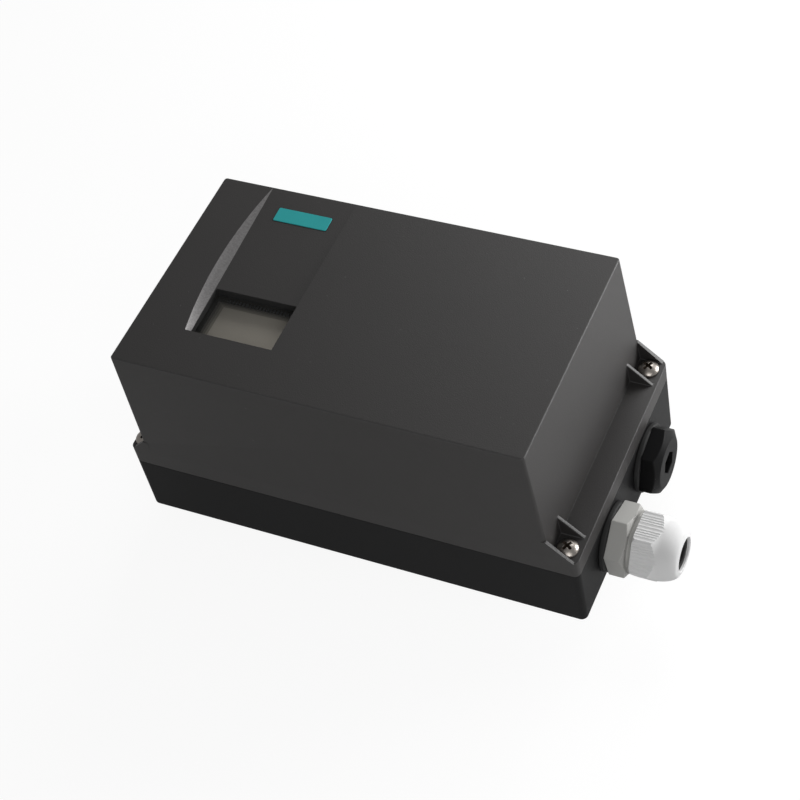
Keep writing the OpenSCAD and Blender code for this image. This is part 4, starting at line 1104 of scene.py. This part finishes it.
class POSITIONER_OT_components(bpy.types.Operator):
    """Model chips, capacitors, resistors and a connector on the free areas of the board"""
    bl_idname = "positioner.components"
    bl_label = "Components"

    def execute(self, context):
        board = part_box("main_board")[1].z
        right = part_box("terminal_block")[0].x - 10 * MM
        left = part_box("module_cover")[1].x + 8 * MM
        self.chip("chip_large", (right, 0, board), (10 * MM, 7.5 * MM, 2.2 * MM), 10)
        self.chip("chip_small", (left, 10 * MM, board), (5 * MM, 4 * MM, 1.5 * MM), 4)
        self.capacitors(board, right, left)
        self.resistors(board, right)
        self.connector((right, 17 * MM, board))
        return {"FINISHED"}

    @staticmethod
    def chip(name, place, size, legs):
        """Chip with a dimple and gull-wing legs along two sides."""
        length, width, height = size
        gap, edge, inset = 0.2 * MM, 0.12 * MM, 1.1 * MM
        body = block(name, (-length / 2, -width / 2, gap), (length / 2, width / 2, height), edge)
        cut(body, turned("dimple", [(0.4 * MM, height - 0.1 * MM), (0.45 * MM, height + 0.2 * MM)],
                         (inset - length / 2, inset - width / 2, 0), steps=16))
        dress(body, "frame_black")
        thick, half, end = 0.16 * MM, 0.19 * MM, 0.4 * MM
        root, knee, foot = 0.3 * MM, 0.25 * MM, 0.6 * MM
        start = end - length / 2
        leg = block("leg", (start - half, width / 2 - root, height / 2),
                    (start + half, width / 2 + knee, height / 2 + thick))
        for push in ((0, knee, -height / 2), (0, foot, 0)):
            pick_faces(leg, lambda c, n: n.y > 0.5 and c.y > width / 2 + 0.2 * MM)
            draw_out(push)
        row_of(leg, legs, (length - 2 * end) / (legs - 1))
        apply_modifier(leg, "MIRROR", use_axis=(False, True, False), use_clip=False,
                       use_mirror_merge=False)
        dress(tidy_mesh(leg), "aluminium")
        settle(stand(join([body, leg]), place), "base", "frame_black")

    @staticmethod
    def capacitors(board, right, left):
        """Round capacitors with a crimped sleeve and a bare metal top."""
        radius, height, bead, crimp = 3.1 * MM, 7.5 * MM, 0.5 * MM, 1.6 * MM
        profile = (
            [(radius - bead, 0)] + arc((radius - bead, bead), bead, -90, 0, 3)
            + [(radius, crimp - bead)] + arc((radius + 0.1 * MM, crimp), bead, 250, 110, 4)
            + [(radius, crimp + bead)] + arc((radius - bead, height - bead), bead, 0, 90, 3)
            + [(radius - 0.9 * MM, height), (radius - 0.95 * MM, height - 0.25 * MM)])
        can = turned("capacitors", profile, (left, -4 * MM, board), steps=32)
        dress(can, "pot_blue")
        rim = board + height - 0.3 * MM
        paint(can, "aluminium", lambda c, n: c.z > rim and n.z > 0.5)
        can = copies(shade(can), [(0, -8 * MM, 0), (right - left, -14 * MM, 0)])
        settle(can, "base", "pot_blue")

    @staticmethod
    def resistors(board, right):
        """Rows of small flat resistors with tinned ends."""
        low = Vector((right - 6 * MM, -9 * MM, board))
        size = Vector((2.0, 1.25, 0.55)) * MM
        cap, tin, edge, step, row = 0.4 * MM, 0.03 * MM, 0.05 * MM, 4 * MM, 18 * MM
        body = block("resistors", low, low + size, edge)
        dress(body, "frame_black")
        ends = []
        for x in (low.x - tin, low.x + size.x - cap + tin):
            end = block("end", (x, low.y - tin, low.z),
                        (x + cap, low.y + size.y + tin, low.z + size.z + tin), edge)
            ends.append(dress(end, "aluminium"))
        rows = copies(join([body] + ends),
                      [(step, 0, 0), (2 * step, 0, 0), (0, row, 0), (step, row, 0)])
        settle(rows, "base", "frame_black")

    @staticmethod
    def connector(place):
        """Open pin header with a latch slot."""
        half_x, half_y, height, wall = 6 * MM, 3 * MM, 7 * MM, 0.8 * MM
        latch, pin_half, floor = 2 * MM, 0.3 * MM, 1.2 * MM
        shell = block("connector", (-half_x, -half_y, 0), (half_x, half_y, height))
        cut(shell, block("well", (wall - half_x, wall - half_y, floor),
                         (half_x - wall, half_y - wall, 2 * height)))
        cut(shell, block("latch", (-latch, -2 * half_y, 3 * MM),
                         (latch, wall / 2 - half_y, 2 * height)))
        dress(soften(shell, 0.12 * MM), "module_grey")
        pin = block("pins", (-4 * MM, -pin_half, 0.8 * MM), (-3.4 * MM, pin_half, 5.5 * MM),
                    0.1 * MM)
        dress(row_of(pin, 4, 2.5 * MM), "brass")
        settle(stand(join([shell, pin]), place), "base", "module_grey")


class POSITIONER_OT_display(bpy.types.Operator):
    """Model the display: glass, stepped films, light area and contact strip"""
    bl_idname = "positioner.display"
    bl_label = "Display"

    def execute(self, context):
        low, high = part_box("display")
        colour = context.scene.positioner_colours.display
        rounded("display_frame", 0.25 * MM)
        glass_shade, film_shades = 0.09, (0.26, 0.43, 0.60, 1.0)
        layer = 0.28 * MM
        bed = high.z - len(film_shades) * layer
        glass = block("display_glass", low, (high.x, high.y, bed), 0.1 * MM)
        dress(glass, liquid_crystal("display_bed", scaled(colour, glass_shade), low, high))
        settle(glass, "base", "frame_black", "display")
        left, near, right, far = 2.2 * MM, 0.8 * MM, 0.6 * MM, 3.0 * MM
        left_step, right_step, far_step = 1.2 * MM, 0.2 * MM, 0.9 * MM
        for i, film_shade in enumerate(film_shades):
            film = block(
                f"display_film_{i + 1}",
                (low.x + left + i * left_step, low.y + near, bed + i * layer),
                (high.x - right - i * right_step, high.y - far - i * far_step,
                 bed + (i + 1) * layer), 0.05 * MM)
            dress(film, liquid_crystal(film.name, scaled(colour, film_shade), low, high))
            settle(film, "base", "display_grey")
        start, width, pitch, count = low.x + 6 * MM, 0.7 * MM, 1.4 * MM, 23
        contact = block("display_contacts", (start, high.y - 2.6 * MM, bed),
                        (start + width, high.y - 1.0 * MM, bed + 0.15 * MM), 0.04 * MM)
        settle(row_of(contact, count, pitch), "base", "dark_aluminium")
        return {"FINISHED"}


class POSITIONER_OT_keys(bpy.types.Operator):
    """Finish the three push keys and their plain marks"""
    bl_idname = "positioner.keys"
    bl_label = "Keys"

    def execute(self, context):
        for node in ("key_hand", "key_minus", "key_plus"):
            rounded(node, 0.35 * MM, 3)
        self.mark("key_minus", [((0, 0), (1.6, 0.28))])
        self.mark("key_plus", [((0, 0), (1.6, 0.28)), ((0, 0), (0.28, 1.6))])
        palm, thumb = ((0, -0.6), (1.15, 0.9)), ((1.5, -0.3), (0.5, 0.24))
        fingers = [((-0.9 + 0.6 * i, 0.9), (0.22, 0.75)) for i in range(4)]
        self.mark("key_hand", [palm, thumb] + fingers)
        return {"FINISHED"}

    @staticmethod
    def mark(node, bars):
        """Mark on a key's top, from bars given in millimetres by centre and half size."""
        sunk, raised, edge = 0.1 * MM, 0.06 * MM, 0.03 * MM
        low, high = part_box(node)
        centre = (low + high) / 2
        pieces = []
        for (x, y), (half_x, half_y) in bars:
            pieces.append(block(
                node + "_mark",
                (centre.x + (x - half_x) * MM, centre.y + (y - half_y) * MM, high.z - sunk),
                (centre.x + (x + half_x) * MM, centre.y + (y + half_y) * MM, high.z + raised),
                edge))
        settle(join(pieces), BODY_OF[node], "frame_black")


class POSITIONER_OT_stage(bpy.types.Operator):
    """Set up floor, light and camera"""
    bl_idname = "positioner.stage"
    bl_label = "Stage"

    def execute(self, context):
        stage = context.scene.positioner_stage
        self.floor()
        self.world(context.scene, stage.fill)
        self.lamp("key_lamp", (0.41, 0.345, 0.13), 0.28, stage.key_power)
        self.lamp("back_lamp", (0.0, 0.54, 0.46), 0.4, stage.back_power)
        self.lamp("front_lamp", (0.28, -0.48, 0.43), 0.5, stage.front_power)
        self.camera(context.scene, stage.lens)
        context.scene.view_settings.view_transform = "Standard"
        return {"FINISHED"}

    @staticmethod
    def floor():
        """White floor just under the object, which shows its shadow faintly."""
        size, gap, strength, share = 8, 0.2 * MM, 1.12, 0.8
        clear_space()
        bpy.ops.mesh.primitive_plane_add(size=size, location=(0, 0, cad_low.z - gap))
        floor = named("floor")
        f = Finish("floor_white")
        f.surface(Base_Color=(0.8, 0.8, 0.8, 1), Roughness=0.9, Specular_IOR_Level=0.0)
        f.seen_white(strength, share, "Emission", "Material Output")
        floor.data.materials.append(f.material)

    @staticmethod
    def world(scene, fill):
        """Even light from all sides, seen as white."""
        f = Finish("studio", world=True)
        scene.world = f.surface(Color=(1, 1, 1, 1), Strength=fill)
        f.seen_white(1.0, 1.0, "Background", "World Output")

    @staticmethod
    def lamp(name, place, size, power):
        """Round lamp that faces the origin."""
        place = Vector(place)
        bpy.ops.object.light_add(type="AREA", location=place)
        lamp = bpy.context.object
        lamp.name = name
        lamp.data.shape = "DISK"
        lamp.data.size = size
        lamp.data.energy = power
        lamp.visible_camera = False
        lamp.rotation_euler = (-place).to_track_quat("-Z", "Y").to_euler()

    @staticmethod
    def camera(scene, lens):
        """Camera at the place and turn that the photo's perspective gives."""
        place, sensor = (0.25936, -0.3961, 0.6075), 36
        azimuth, elevation, roll = (radians(a) for a in (34.759, 49.717, 14.302))
        level = Vector((cos(azimuth), sin(azimuth), 0))
        ahead = Vector((-sin(azimuth) * cos(elevation),
                        cos(azimuth) * cos(elevation), -sin(elevation)))
        right = cos(roll) * level + sin(roll) * ahead.cross(level)
        up = right.cross(ahead)
        data = bpy.data.cameras.new("camera")
        data.lens = lens
        data.sensor_width = sensor
        camera = bpy.data.objects.new("camera", data)
        turn = Matrix((right, up, -ahead)).transposed().to_4x4()
        camera.matrix_world = Matrix.Translation(place) @ turn
        scene.collection.objects.link(camera)
        scene.camera = camera


class POSITIONER_PT_panel(bpy.types.Panel):
    """Sidebar panel that lists the steps"""
    bl_idname = "POSITIONER_PT_panel"
    bl_label = "Positioner"
    bl_space_type = "VIEW_3D"
    bl_region_type = "UI"
    bl_category = "Positioner"

    def draw(self, context):
        for step in STEPS:
            self.layout.operator(step.bl_idname)


STEPS = (
    POSITIONER_OT_finishes, POSITIONER_OT_enclosure, POSITIONER_OT_cover_screws,
    POSITIONER_OT_window, POSITIONER_OT_cable_gland, POSITIONER_OT_blanking_plug,
    POSITIONER_OT_air_ports, POSITIONER_OT_rear_mounting, POSITIONER_OT_gear_train,
    POSITIONER_OT_pneumatic_block, POSITIONER_OT_electronics, POSITIONER_OT_components,
    POSITIONER_OT_display, POSITIONER_OT_keys, POSITIONER_OT_stage,
)
SETTINGS = {
    "positioner_sizes": PositionerSizes,
    "positioner_colours": PositionerColours,
    "positioner_stage": PositionerStage,
}


def register():
    for kind in (*SETTINGS.values(), *STEPS, POSITIONER_PT_panel):
        bpy.utils.register_class(kind)
    for name, group in SETTINGS.items():
        setattr(bpy.types.Scene, name, PointerProperty(type=group))


def unregister():
    for name in SETTINGS:
        delattr(bpy.types.Scene, name)
    for kind in (POSITIONER_PT_panel, *reversed(STEPS), *SETTINGS.values()):
        bpy.utils.unregister_class(kind)


def main():
    register()
    for step in STEPS:
        group, name = step.bl_idname.split(".")
        getattr(getattr(bpy.ops, group), name)()


if __name__ == "__main__":
    main()
